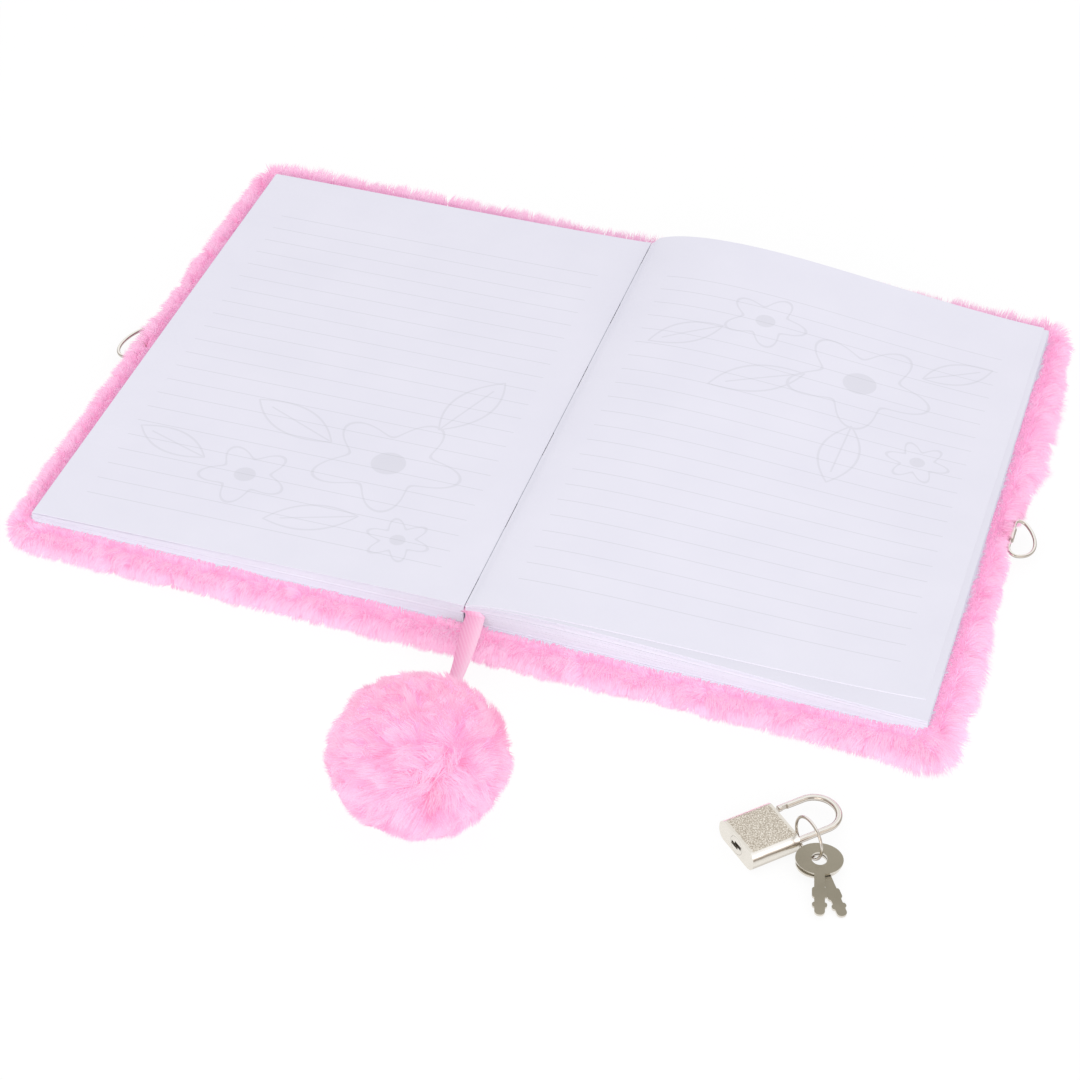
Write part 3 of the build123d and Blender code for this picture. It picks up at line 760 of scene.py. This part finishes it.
def tufts(places, per_tuft):
    """The tufts' heads, each hair's tuft, and how far from its middle the hair stands, 0 to 1."""
    heads = rng.choice(len(places), max(2, len(places) // per_tuft), replace=False)
    tree = KDTree(len(heads))
    for i, head in enumerate(heads):
        tree.insert(places[head], i)
    tree.balance()
    found = [tree.find(p) for p in places]
    nearest = np.array([f[1] for f in found])
    away = np.array([f[2] for f in found])
    return heads, nearest, np.clip(away / np.percentile(away, TUFT_EDGE), 0, 1)


def tuft_tint(heads, nearest, away, middle, spread, stray, painted_gap_shade):
    """Tints that differ from tuft to tuft and from hair to hair, with painted shade deeper between the tufts.
    """
    own = rng.uniform(-spread, spread, len(heads))[nearest]
    # Painted shade darkens the hairs between the tufts
    return middle + own + rng.normal(0, stray, len(nearest)) - painted_gap_shade * away**2


def gather(tips, heads, nearest, pull):
    """Draws the tips of each tuft together."""
    strength = (pull * rng.uniform(0.5, 1.2, len(tips)))[:, None]
    return tips + (tips[heads[nearest]] - tips) * strength


DENSITY = 1.0
THICKEN = 1.0

# A cover's edge runs from the foot's hinge end, round the fore edge, to the head's.
RIM_STRAIGHT = CORE_X - CORE_CORNER - COVER_END
RIM_ARC = CORE_CORNER * math.pi / 2
RIM_MARKS = np.cumsum([0, RIM_STRAIGHT, RIM_ARC, 2 * (CORE_Y - CORE_CORNER), RIM_ARC, RIM_STRAIGHT])
RIM_END = RIM_MARKS[5]
DENT_FADE = (9.0, 14.0)


def rim_walk(s):
    """Points and outward headings along a cover's edge."""
    marks = RIM_MARKS
    x, y, nx, ny = (np.zeros_like(s) for _ in range(4))
    here = s < marks[1]
    x[here], y[here], ny[here] = COVER_END + s[here], -CORE_Y, -1
    for first, cy, turn in ((1, -1, -90.0), (3, 1, 0.0)):
        here = (s >= marks[first]) & (s < marks[first + 1])
        angle = np.radians(turn) + (s[here] - marks[first]) / CORE_CORNER
        nx[here], ny[here] = np.cos(angle), np.sin(angle)
        x[here] = CORE_X - CORE_CORNER + CORE_CORNER * nx[here]
        y[here] = cy * (CORE_Y - CORE_CORNER) + CORE_CORNER * ny[here]
    here = (s >= marks[2]) & (s < marks[3])
    x[here], y[here], nx[here] = CORE_X, -CORE_Y + CORE_CORNER + s[here] - marks[2], 1
    here = s >= marks[4]
    x[here], y[here], ny[here] = CORE_X - CORE_CORNER - (s[here] - marks[4]), CORE_Y, 1
    return x, y, nx, ny


def ring_dent(x, y):
    """How far the fur's edge draws back round the lock ring."""
    return RING_DENT * (1 - smooth_step(np.abs(y - RING_Y), *DENT_FADE)) * (x > CORE_X - CORE_CORNER)


def edge_section(phi):
    """Place and slope of the fur's rounded edge, outward and up.

    The angle phi is 0 outward, 90 degrees up, -90 down, and 180 at the lip's end.
    """
    c, s = np.cos(phi), np.sin(phi)
    lip = np.clip((phi - math.pi / 2) / (math.pi / 2), 0, 1)
    out = np.where(lip > 0, -LIP_IN * lip, RIM_OUT * c)
    height = np.where(lip > 0, RIM_Z + RIM_UP + LIP_RISE * np.sin(lip * math.pi / 2), RIM_Z + RIM_UP * s)
    slope_out = np.where(lip > 0, 0.25 * (1 - 2 * lip), c / RIM_OUT)
    slope_up = np.where(lip > 0, 1.0, s / RIM_UP)
    return out, height, slope_out, slope_up


# Where parts of the edge set in, as phi in degrees
SIDE_FROM = (-80, -35)
TOP_FROM = (30, 80)
LIP_FROM = (75, 165)
INNER_FROM = (95, 160)
# The next one sets where the painted light on the outer side and underneath fades out
PAINTED_LIGHT_TO = (-20, 50)
DENT_TO = (25, 70)
# Where the painted shade over the pages, and beside the page block, sets in
PAINTED_SHADE_FROM = (70, 165)
SHADE_FROM = (140, 172)
# How its hairs lean on the top, over the pages, on the side and underneath
TOP_OUT = 0.85
TOP_DOWN = 0.35
OVER_IN = 1.9
SIDE_DOWN = 0.62
UNDER_OUT = 0.95
UNDER_UP = 0.1
ALL_OUT = 0.2
TIP_LEAN = 0.85
MIDDLE_LEAN = 0.3
MIDDLE_JITTER = 0.8
HAIR_MIDDLE = 0.52


def section_hairs(core, out, phi, length, dent, jitter):
    """Hairs on the rounded edge of the fur."""
    reach, height, slope_out, slope_up = edge_section(phi)
    up = rows(0, 0, 1)
    roots = core + out * (reach - dent)[:, None] + up * height[:, None]
    normal = unit(out * slope_out[:, None] + up * slope_up[:, None])
    degrees = np.degrees(phi)
    over = smooth_step(degrees, *LIP_FROM)
    under = 1 - smooth_step(degrees, *SIDE_FROM)
    top = smooth_step(degrees, *TOP_FROM)
    lean_out = (TOP_OUT - OVER_IN * over) * top + UNDER_OUT * under + ALL_OUT
    lean_up = -SIDE_DOWN * (1 - top) * (1 - under) - TOP_DOWN * top + UNDER_UP * under
    lean = out * lean_out[:, None] + up * lean_up[:, None]
    tips = roots + length[:, None] * unit(normal + TIP_LEAN * lean + jitter)
    bent = unit(normal + MIDDLE_LEAN * lean + MIDDLE_JITTER * jitter)
    return roots, roots + HAIR_MIDDLE * length[:, None] * bent, tips


def floor_clamp(points):
    points[:, 2] = np.maximum(points[:, 2], FUR_FLOOR + rng.uniform(0, 0.25, len(points)))
    return points


def finish_hairs(name, roots, middles, tips, tint, width, material, body, mirror=False):
    """One piece of fur from its hairs; it lets light through, as soft pile does."""
    tips, middles = floor_clamp(tips), floor_clamp(middles)
    if mirror:
        for part in (roots, middles, tips):
            part[:, 0] *= -1
    widths = width * THICKEN * rng.uniform(0.75, 1.3, len(roots))
    obj = strand_object(name, roots, middles, tips, widths, np.clip(tint, 0, 1), material)
    obj.visible_shadow = False
    obj.visible_diffuse = False
    if body:
        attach(obj, body)
    return obj


def below_sight(tips):
    """Keeps hair tips on the pages' side from hiding the foot of the page block behind them."""
    outside = np.maximum(np.abs(tips[:, 0]) - PAGE_FORE, np.abs(tips[:, 1]) - PAGE_HEAD)
    limit = SIGHT_Z + SIGHT_SLOPE * outside + rng.uniform(*SIGHT_STRAY, len(tips))
    tips[:, 2] = np.minimum(tips[:, 2], np.maximum(limit, SIGHT_LEAST))
    return tips


PHI_LOW = math.radians(-118)
PHI_HIGH = math.radians(180)
RIM_PER_MM = 84.0
RIM_PER_TUFT = 70
SECTION_RADIUS = 4.2
TUFT_TURN = 0.24
HAIR_TURN = 0.13
COMB = 0.35


def rim_fur(name, body, mirror, seed, first, last, growth, uneven, tone, shade):
    """Fur on one stretch of a cover's edge; tone is paler painted light, shade deeper painted shade by the
    page block.
    """
    count = int(RIM_PER_MM * (last - first) * DENSITY)
    s = rng.uniform(first, last, count)
    x, y, nx, ny = rim_walk(s)
    core, out, along = rows(x, y, 0), rows(nx, ny, 0), rows(-ny, nx, 0)
    phi = rng.uniform(PHI_LOW, PHI_HIGH, count)
    dent = np.zeros(count) if mirror else ring_dent(x, y)
    swollen = np.ones(count)
    for bx, by, spread, more in FRONT_BULGES if mirror else BACK_BULGES:
        swollen += more * np.exp(-((x - bx) ** 2 + (y - by) ** 2) / spread**2)
    places = np.stack([s, phi * SECTION_RADIUS, np.zeros(count)], -1)
    heads, nearest, away = tufts(places, RIM_PER_TUFT)
    tuft_turn = (0.4 + 0.6 * uneven) * rng.normal(0, TUFT_TURN, (len(heads), 3))[nearest]
    comb = COMB * uneven * waves(s * 1.7, 7, seed + 1)
    jitter = tuft_turn + rng.normal(0, HAIR_TURN, (count, 3)) + along * comb[:, None]
    length = growth * swollen * rng.uniform(0.85, 1.12, count)
    length = length * (1 + uneven * rng.uniform(-0.15, 0.15, len(heads))[nearest])
    degrees = np.degrees(phi)
    inner = smooth_step(degrees, *INNER_FROM)
    low = 1 - smooth_step(degrees, *DENT_TO)
    length = length * (1 + 0.24 * uneven * waves(s * 0.8, 9, seed))
    length = length * (1 - 0.55 * low * dent / RING_DENT) * (1 - 0.3 * inner)
    jitter = jitter * (1 - 0.5 * inner)[:, None]
    roots, middles, tips = section_hairs(core, out, phi, length, dent, jitter)
    tips = below_sight(gather(tips, heads, nearest, pull=0.16))
    tint = tuft_tint(heads, nearest, away, middle=0.56, spread=0.2, stray=0.07, painted_gap_shade=0.34)
    # Painted shade on the side over the pages, painted light on the outer side and underneath, then the
    # stretch's painted light and shade
    tint = tint - 0.42 * smooth_step(degrees, *PAINTED_SHADE_FROM) + 0.28 * (1 - smooth_step(degrees, *PAINTED_LIGHT_TO))
    tint = tint + tone - shade * smooth_step(degrees, *SHADE_FROM)
    return finish_hairs(name, roots, middles, tips, tint, EDGE_WIDTH, plush_hair, body, mirror)


OUTSIDE_PER_MM2 = 0.62
OUTSIDE_PER_TUFT = 9
OUTSIDE_ROOT_Z = UNDERSIDE_Z + 0.3
OUTSIDE_Y = CORE_Y - 1


def lying(roots, length, flow):
    """Hairs that lie along a flow, from roots that point further down."""
    middles = roots + 0.5 * length * unit(flow + rows(0, 0, -0.35))
    return roots, middles, roots + length * unit(flow)


def under_fur(name, body, mirror, seed):
    """Fur on a cover's outside, lying towards the foot."""
    count = int(2 * OUTSIDE_Y * (CORE_X - COVER_END) * OUTSIDE_PER_MM2 * DENSITY)
    x = rng.uniform(COVER_END - 0.6, CORE_X - 1, count)
    y = rng.uniform(-OUTSIDE_Y, OUTSIDE_Y, count)
    roots = rows(x, y, OUTSIDE_ROOT_Z)
    heads, nearest, away = tufts(roots, OUTSIDE_PER_TUFT)
    angle = -1.4 + 0.5 * waves(x * 0.35 + y * 0.2, 6, seed) + 0.5 * waves(y * 0.35 - x * 0.15, 6, seed + 1)
    angle = angle + rng.normal(0, 0.25, len(heads))[nearest]
    length = rng.uniform(4.6, 6.6, count)[:, None]
    flow = rows(np.cos(angle), np.sin(angle), -0.40) + rng.normal(0, 0.12, (count, 3))
    roots, middles, tips = lying(roots, length, flow)
    tips = gather(tips, heads, nearest, pull=0.3)
    tint = tuft_tint(heads, nearest, away, middle=0.55, spread=0.2, stray=0.07, painted_gap_shade=0.25)
    return finish_hairs(name, roots, middles, tips, tint, OUTSIDE_WIDTH, plush_hair, body, mirror)


SECTION_ROUND = 13


def strip_hairs(x_low, x_high, density, spread, fineness=1.0):
    """Hairs for a band of the spine: both ends and the outside. A small spread keeps each near its own x.

    The hinge bands are drawn out when the diary closes, so theirs are finer and more even than the rest.
    """
    width = x_high - x_low
    sway = np.array([spread, 1, 1])
    ends = int(width * SECTION_ROUND * 2 * density * DENSITY)
    x = rng.uniform(x_low, x_high, ends)
    sign = rng.choice([-1.0, 1.0], ends)
    phi = rng.uniform(PHI_LOW, PHI_HIGH, ends)
    jitter = rng.normal(0, 0.3, (ends, 3)) * sway
    length = np.where(sign > 0, HEAD_GROWTH, SPINE_FOOT_GROWTH) * rng.uniform(0.75, 1.2, ends)
    edge = section_hairs(rows(x, sign * CORE_Y, 0), rows(0, sign, 0), phi, length, np.zeros(ends), jitter)
    edge = (edge[0], edge[1], below_sight(edge[2]))
    under = int(width * 2 * OUTSIDE_Y * OUTSIDE_PER_MM2 * fineness**2 * DENSITY)
    x = rng.uniform(x_low, x_high, under)
    roots = rows(x, rng.uniform(-OUTSIDE_Y, OUTSIDE_Y, under), OUTSIDE_ROOT_Z)
    flow = rows(0, -1, -0.42) + rng.normal(0, 0.22, (under, 3)) * sway
    outside = lying(roots, rng.uniform(4.2, 6.2, under)[:, None], flow)
    hairs = [np.concatenate(pair) for pair in zip(edge, outside)]
    widths = np.concatenate([np.full(ends, EDGE_WIDTH), np.full(under, OUTSIDE_WIDTH / fineness)])
    tint = 0.55 + rng.normal(0, 0.14 / fineness, ends + under)
    return [*hairs, tint, widths]


# Fur backing


def ring_stack(name, rings, material):
    """A closed object through rings with the same number of points."""
    size = len(rings[0])
    here = np.arange(size)
    after = np.roll(here, -1)
    strip = np.stack([here, after, after + size, here + size], -1)
    quads = np.concatenate([strip + i * size for i in range(len(rings) - 1)])
    return closed_object(name, np.concatenate(rings), quads, material, crease=60.0, fill=True)


RIM_LEVELS = tuple(math.radians(v) for v in (-60, -30, 0, 30, 60, 90, 112, 135, 158, 180))
BACKING_STEPS = 420
UNDERSIDE_IN = 2.0


def edge_rows():
    """(outward, up) rows of the backing's edge, from the underside round to the board's bed."""
    made = [(-UNDERSIDE_IN, UNDERSIDE_Z)]
    for phi in RIM_LEVELS:
        out, height = edge_section(np.array(phi))[:2]
        made.append((float(out), float(height)))
    return made + [(-LIP_IN, LIP_UNDER), (-POCKET_BACK, LIP_UNDER), (-POCKET_BACK, POCKET_Z)]


def cover_backing(name, mirror):
    """Rounded slab under the fur, with a lip over the endpaper and a shallow bed for the board."""
    x, y, nx, ny = rim_walk(np.linspace(0, RIM_END - 0.01, BACKING_STEPS))
    dent = ring_dent(x, y)
    rings = []
    for out, height in edge_rows():
        reach = out - dent * (out > -POCKET_BACK + 0.1)
        rings.append(rows(x + nx * reach, y + ny * reach, height))
    if mirror:
        for ring in rings:
            ring[:, 0] *= -1
    return ring_stack(name, rings, plush_base)


def strip_backing(name, x_low, x_high, slices):
    """A band of backing across the spine, from foot to head."""
    half = edge_rows()
    foot = [(-CORE_Y - out, height) for out, height in half[::-1]]
    head = [(CORE_Y + out, height) for out, height in half]
    y, z = np.array(foot + head).T
    rings = [rows(x, y, z) for x in np.linspace(x_low, x_high, slices)]
    return ring_stack(name, rings, plush_base)


# Each stretch of a cover's edge: its ends, growth and unevenness
CORNER = RIM_STRAIGHT + RIM_ARC / 2
STRETCHES = (
    ("foot", 0.0, CORNER, EDGE_GROWTH, 1.0),
    ("fore", CORNER, RIM_END - CORNER, EDGE_GROWTH, 1.0),
    ("head", RIM_END - CORNER, RIM_END, HEAD_GROWTH, 0.3),
)
# Each cover's seeds, and the painted light (tone) and painted shade of each stretch
COVERS = (
    ("back", "back_cover", False, 57, 91, ((0.10, 0.0), (0.0, 0.5), (0.25, 0.0))),
    ("front", "front_cover", True, 31, 83, ((0.10, 0.0), (0.22, 0.0), (0.38, 0.0))),
)
for side, body, mirror, edge_seed, outside_seed, painted_light_and_shade in COVERS:
    backing = cover_backing(f"{side}_fur_backing", mirror)
    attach(backing, body)
    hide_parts(f"{side}_plush")
    for (edge, *stretch), tone in zip(STRETCHES, painted_light_and_shade):
        rim_fur(f"{side}_{edge}_fur", body, mirror, edge_seed, *stretch, *tone)
    under_fur(f"{side}_fur_outside", body, mirror, outside_seed)

SPINE_SLICES = 5
SPINE_HAIR = (8.0, 1.0)
spine_backing = strip_backing("spine_fur_backing", -SPINE_END, SPINE_END, SPINE_SLICES)
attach(spine_backing, "spine")
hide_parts("spine_plush")
finish_hairs("spine_fur", *strip_hairs(-SPINE_END, SPINE_END, *SPINE_HAIR), plush_hair, "spine")

# The two hinge bands stretch between the spine and the covers. Each is built in place and attached to no
# body;
# the two bodies and the span in each row are not read.
BAND_GAP = 0.15
BAND_SLICES = 17
BAND_HAIR = (10.0, 0.35, 2.4)
FRONT_START = COVER_END - 2 * SPINE_END
BANDS = (
    ("back_hinge", SPINE_END, COVER_END, "back_cover", "spine", COVER_END, SPINE_END),
    ("front_hinge", -COVER_END, -SPINE_END - BAND_GAP, "back_cover", "front_cover", FRONT_START, -COVER_END),
)
for name, x_low, x_high, first, second, start, end in BANDS:
    band = strip_backing(f"{name}_fur_backing", x_low, x_high, BAND_SLICES)
    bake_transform(band)
    hairs = finish_hairs(f"{name}_fur", *strip_hairs(x_low, x_high, *BAND_HAIR), plush_hair, None)
    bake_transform(hairs)


# Pom-pom

POM_HAIRS = 19600
POM_PER_TUFT = 60
POM_HAIR_LENGTH = (11.0, 13.4)
POM_COMB = 0.85
POM_DROOP = 0.2
POM_MIDDLE_LEAN = 0.35
POM_LUMP_PITCH = 11
POM_LUMP_DEPTH = 0.03


def pom_hairs(count, half):
    """Long hair combed away from a crown on the upper side; half is 1 for the upper hairs, else -1."""
    direction = unit(rng.normal(0, 1, (count, 3)))
    direction[:, 2] = half * np.abs(direction[:, 2])
    crown = unit(np.array(POM_CROWN))
    roots = POM_AT + direction * POM_CORE
    normal = unit(direction / POM_CORE)
    heads, nearest, apart = tufts(roots, POM_PER_TUFT)
    away = -(crown - normal * (normal @ crown)[:, None])
    away = unit(away) * smooth_step(np.linalg.norm(away, axis=1), -0.1, 0.8)[:, None]
    wander = rng.normal(0, 0.33, (len(heads), 3))[nearest] + rng.normal(0, 0.09, (count, 3))
    length = rng.uniform(*POM_HAIR_LENGTH, count) * rng.uniform(0.88, 1.1, len(heads))[nearest]
    lean = POM_COMB * away + rows(0, 0, -POM_DROOP) + wander
    tips = roots + length[:, None] * unit(normal + lean)
    middles = roots + HAIR_MIDDLE * length[:, None] * unit(normal + POM_MIDDLE_LEAN * lean)
    out = gather(tips, heads, nearest, pull=0.22) - POM_AT
    lumps = sum(waves(normal[:, i] * POM_LUMP_PITCH, 5, 5 + i) for i in range(3))
    tuft_reach = rng.uniform(0.92, 1.0, len(heads))[nearest]
    share = (1 - POM_LUMP_DEPTH * np.abs(lumps)) * tuft_reach * rng.uniform(0.96, 1.0, count)
    reach = np.linalg.norm(out / (POM_REACH * share[:, None]), axis=1, keepdims=True)
    tips = POM_AT + out / np.maximum(reach, 1.0)
    tint = tuft_tint(heads, nearest, apart, middle=0.54, spread=0.27, stray=0.08, painted_gap_shade=0.4)
    # Paler away from the crown: painted light for the pom's pale rim
    tint = tint + 0.34 * smooth_step(-(normal @ crown), -0.6, 0.1)
    return roots, middles, tips, tint


def pom_backing():
    rings = []
    turn = np.linspace(0, math.tau, 48, endpoint=False)
    for degrees in np.linspace(-80, 80, 22):
        c, z = math.cos(math.radians(degrees)), math.sin(math.radians(degrees))
        rings.append(POM_AT + rows(np.cos(turn) * c, np.sin(turn) * c, z) * POM_CORE)
    return ring_stack("pompom_core", rings, plush_base)


pom_core = pom_backing()
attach(pom_core, "back_cover")
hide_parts("pompom")
for name, half in (("upper", 1), ("lower", -1)):
    hairs = pom_hairs(int(POM_HAIRS * DENSITY), half)
    finish_hairs(f"pompom_{name}_fur", *hairs, POM_WIDTH, pom_hair, "back_cover")


# Ribbon

STRAP_COLUMNS = 13
CREASE_AT = 0.62
CREASE_SLOPE = 0.22
CREASE_DEPTH = 0.05
NARROWING = 0.34
EDGE_SWAY = 0.03
TUCK_STEPS = 15
TUCK_SLANT = 0.02
TUCK_BEND_FROM = 0.45
TUCK_OVERLAP = 0.2


def ribbon_line():
    """Points along the ribbon's route, read back from a curve, in metres, and its heading."""
    curve = bpy.data.curves.new("ribbon_line", "CURVE")
    curve.dimensions = "3D"
    spline = curve.splines.new("NURBS")
    start = np.array(RIBBON_START)
    heading = unit(np.array(RIBBON_ENTRY) - start)
    spline.points.add(len(RIBBON_ROUTE) - 1)
    for point, (along, height) in zip(spline.points, RIBBON_ROUTE):
        x, y = start + heading * along
        point.co = (x * MM, y * MM, height * MM, 1.0)
    spline.order_u = 3
    spline.use_endpoint_u = True
    spline.resolution_u = 14
    holder = bpy.data.objects.new("ribbon_line", curve)
    scene.collection.objects.link(holder)
    bpy.context.view_layer.update()
    line = bpy.data.meshes.new_from_object(holder.evaluated_get(bpy.context.evaluated_depsgraph_get()))
    points = np.array([v.co for v in line.vertices])
    bpy.data.objects.remove(holder)
    bpy.data.meshes.remove(line)
    return points, heading


def strap(name, points, across, widths, material):
    """A folded flat band along points, with its own width direction at each."""
    tangent = unit(np.gradient(points, axis=0))
    normal = unit(np.cross(across, tangent))
    normal = np.where(normal[:, 2:3] < 0, -normal, normal)
    share = np.linspace(0, 1, STRAP_COLUMNS)
    fold = CREASE_SLOPE * np.abs(share - CREASE_AT) - CREASE_DEPTH
    place = points[:, None] + across[:, None] * ((share - 0.5)[None, :] * widths[:, None])[:, :, None]
    place = place + normal[:, None] * fold[None, :, None]
    thick = normal[:, None] * RIBBON_THICKNESS / 2
    part, quads = slab(place - thick, place + thick)
    return closed_object(name, part, quads, material, across=np.tile(share, 2 * len(points)))


def ribbon_strap():
    """The free ribbon, and the gathered end that comes out of the fold."""
    line, heading = ribbon_line()
    points = line / MM
    side = np.array((-heading[1], heading[0], 0.0))
    side = side if side[0] > 0 else -side
    satin_cloth = satin()
    run = np.linspace(0, 1, len(points))
    widths = RIBBON_WIDTH * (1 - NARROWING * smooth_step(run, 0.1, 0.7) + EDGE_SWAY * np.sin(run * 11))
    free = strap("ribbon_strap", points, np.tile(side, (len(points), 1)), widths, satin_cloth)
    turn = np.linspace(0, 1, TUCK_STEPS)
    bend = smooth_step(turn, 0.0, 1.0)[:, None]
    root = points[0] + TUCK_OVERLAP * unit(points[1] - points[0])
    lead = rows(
        between(0.0, root[0], smooth_step(turn, TUCK_BEND_FROM, 1.0)),
        between(PAGE_FOOT + FOLD_INSET, root[1], turn),
        between(FOLD_SLOT, root[2], turn) + TUCK_HUMP * np.sin(turn * math.pi),
    )
    turned = unit(rows(TUCK_SLANT, 0, 1) * (1 - bend) + side * bend)
    tuck = strap("ribbon_tuck", lead, turned, between(TUCK_WIDTH, RIBBON_WIDTH, bend[:, 0]), satin_cloth)
    return free, tuck, [tuple(p) for p in line]


ribbon, tuck, route = ribbon_strap()
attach(tuck, "back_cover")
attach(ribbon, "back_cover")
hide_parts("bookmark_ribbon")


# Floor, light and camera


def bright(tree, plain, white, share):
    """Mixes white into a plain surface where the camera or a reflection sees it."""
    rays = tree.node("ShaderNodeLightPath").outputs
    seen = tree.larger(rays["Is Camera Ray"], rays["Is Glossy Ray"])
    seen = tree.larger(seen, rays["Is Transmission Ray"])
    inputs = {0: tree.times(seen, share), 1: plain.outputs[0], 2: white.outputs[0]}
    return tree.node("ShaderNodeMixShader", inputs).outputs[0]


def studio_floor():
    bpy.ops.mesh.primitive_plane_add(size=FLOOR_SIZE, location=(0, 0, CAD_BOX[0][2] - FLOOR_DROP))
    floor = bpy.context.object
    floor.name = "studio_floor"
    material = bpy.data.materials.new("studio_floor")
    material.use_nodes = True
    tree = Tree(material.node_tree)
    grain = tree.node("ShaderNodeTexNoise", {"Scale": FLOOR_GRAIN}).outputs["Fac"]
    tone = tree.ramp(grain, (0.0, FLOOR_DEEP), (1.0, FLOOR_PALE))
    plain = tree.node("ShaderNodeBsdfDiffuse", {"Color": tone})
    glow = tree.node("ShaderNodeEmission", {"Strength": FLOOR_GLOW})
    tree.node("ShaderNodeOutputMaterial", {"Surface": bright(tree, plain, glow, FLOOR_WHITENESS)})
    floor.data.materials.append(material)


def studio_world():
    world = bpy.data.worlds.new("studio")
    scene.world = world
    world.use_nodes = True
    tree = Tree(world.node_tree)
    dome = tree.node("ShaderNodeBackground", {"Color": (1, 1, 1), "Strength": DOME})
    white = tree.node("ShaderNodeBackground", {"Color": (1, 1, 1), "Strength": 1.0})
    tree.node("ShaderNodeOutputWorld", {"Surface": bright(tree, dome, white, 1.0)})


def soft_light(name, place, power):
    lamp = bpy.data.lights.new(name, "AREA")
    lamp.shape = "DISK"
    lamp.size = LAMP_SIZE
    lamp.energy = power
    holder = bpy.data.objects.new(name, lamp)
    holder.location = place
    holder.rotation_mode = "QUATERNION"
    holder.rotation_quaternion = (-Vector(place)).to_track_quat("-Z", "Y")
    scene.collection.objects.link(holder)


def photo_camera():
    az, el, roll = (math.radians(v) for v in (AZIMUTH, ELEVATION, ROLL))
    back = Vector((math.sin(az) * math.cos(el), -math.cos(az) * math.cos(el), math.sin(el)))
    level = Vector((math.cos(az), math.sin(az), 0))
    rise = back.cross(level)
    right = level * math.cos(roll) + rise * math.sin(roll)
    up = rise * math.cos(roll) - level * math.sin(roll)
    data = bpy.data.cameras.new("photo_camera")
    data.sensor_width = SENSOR
    data.lens = LENS
    camera = bpy.data.objects.new("photo_camera", data)
    turn = Matrix((right, up, back)).transposed().to_4x4()
    camera.matrix_world = Matrix.Translation((Vector(TARGET) + back * DISTANCE) * MM) @ turn
    scene.collection.objects.link(camera)
    scene.camera = camera


studio_floor()
studio_world()
for lamp in LAMPS:
    soft_light(*lamp)
photo_camera()
scene.view_settings.view_transform = "Standard"
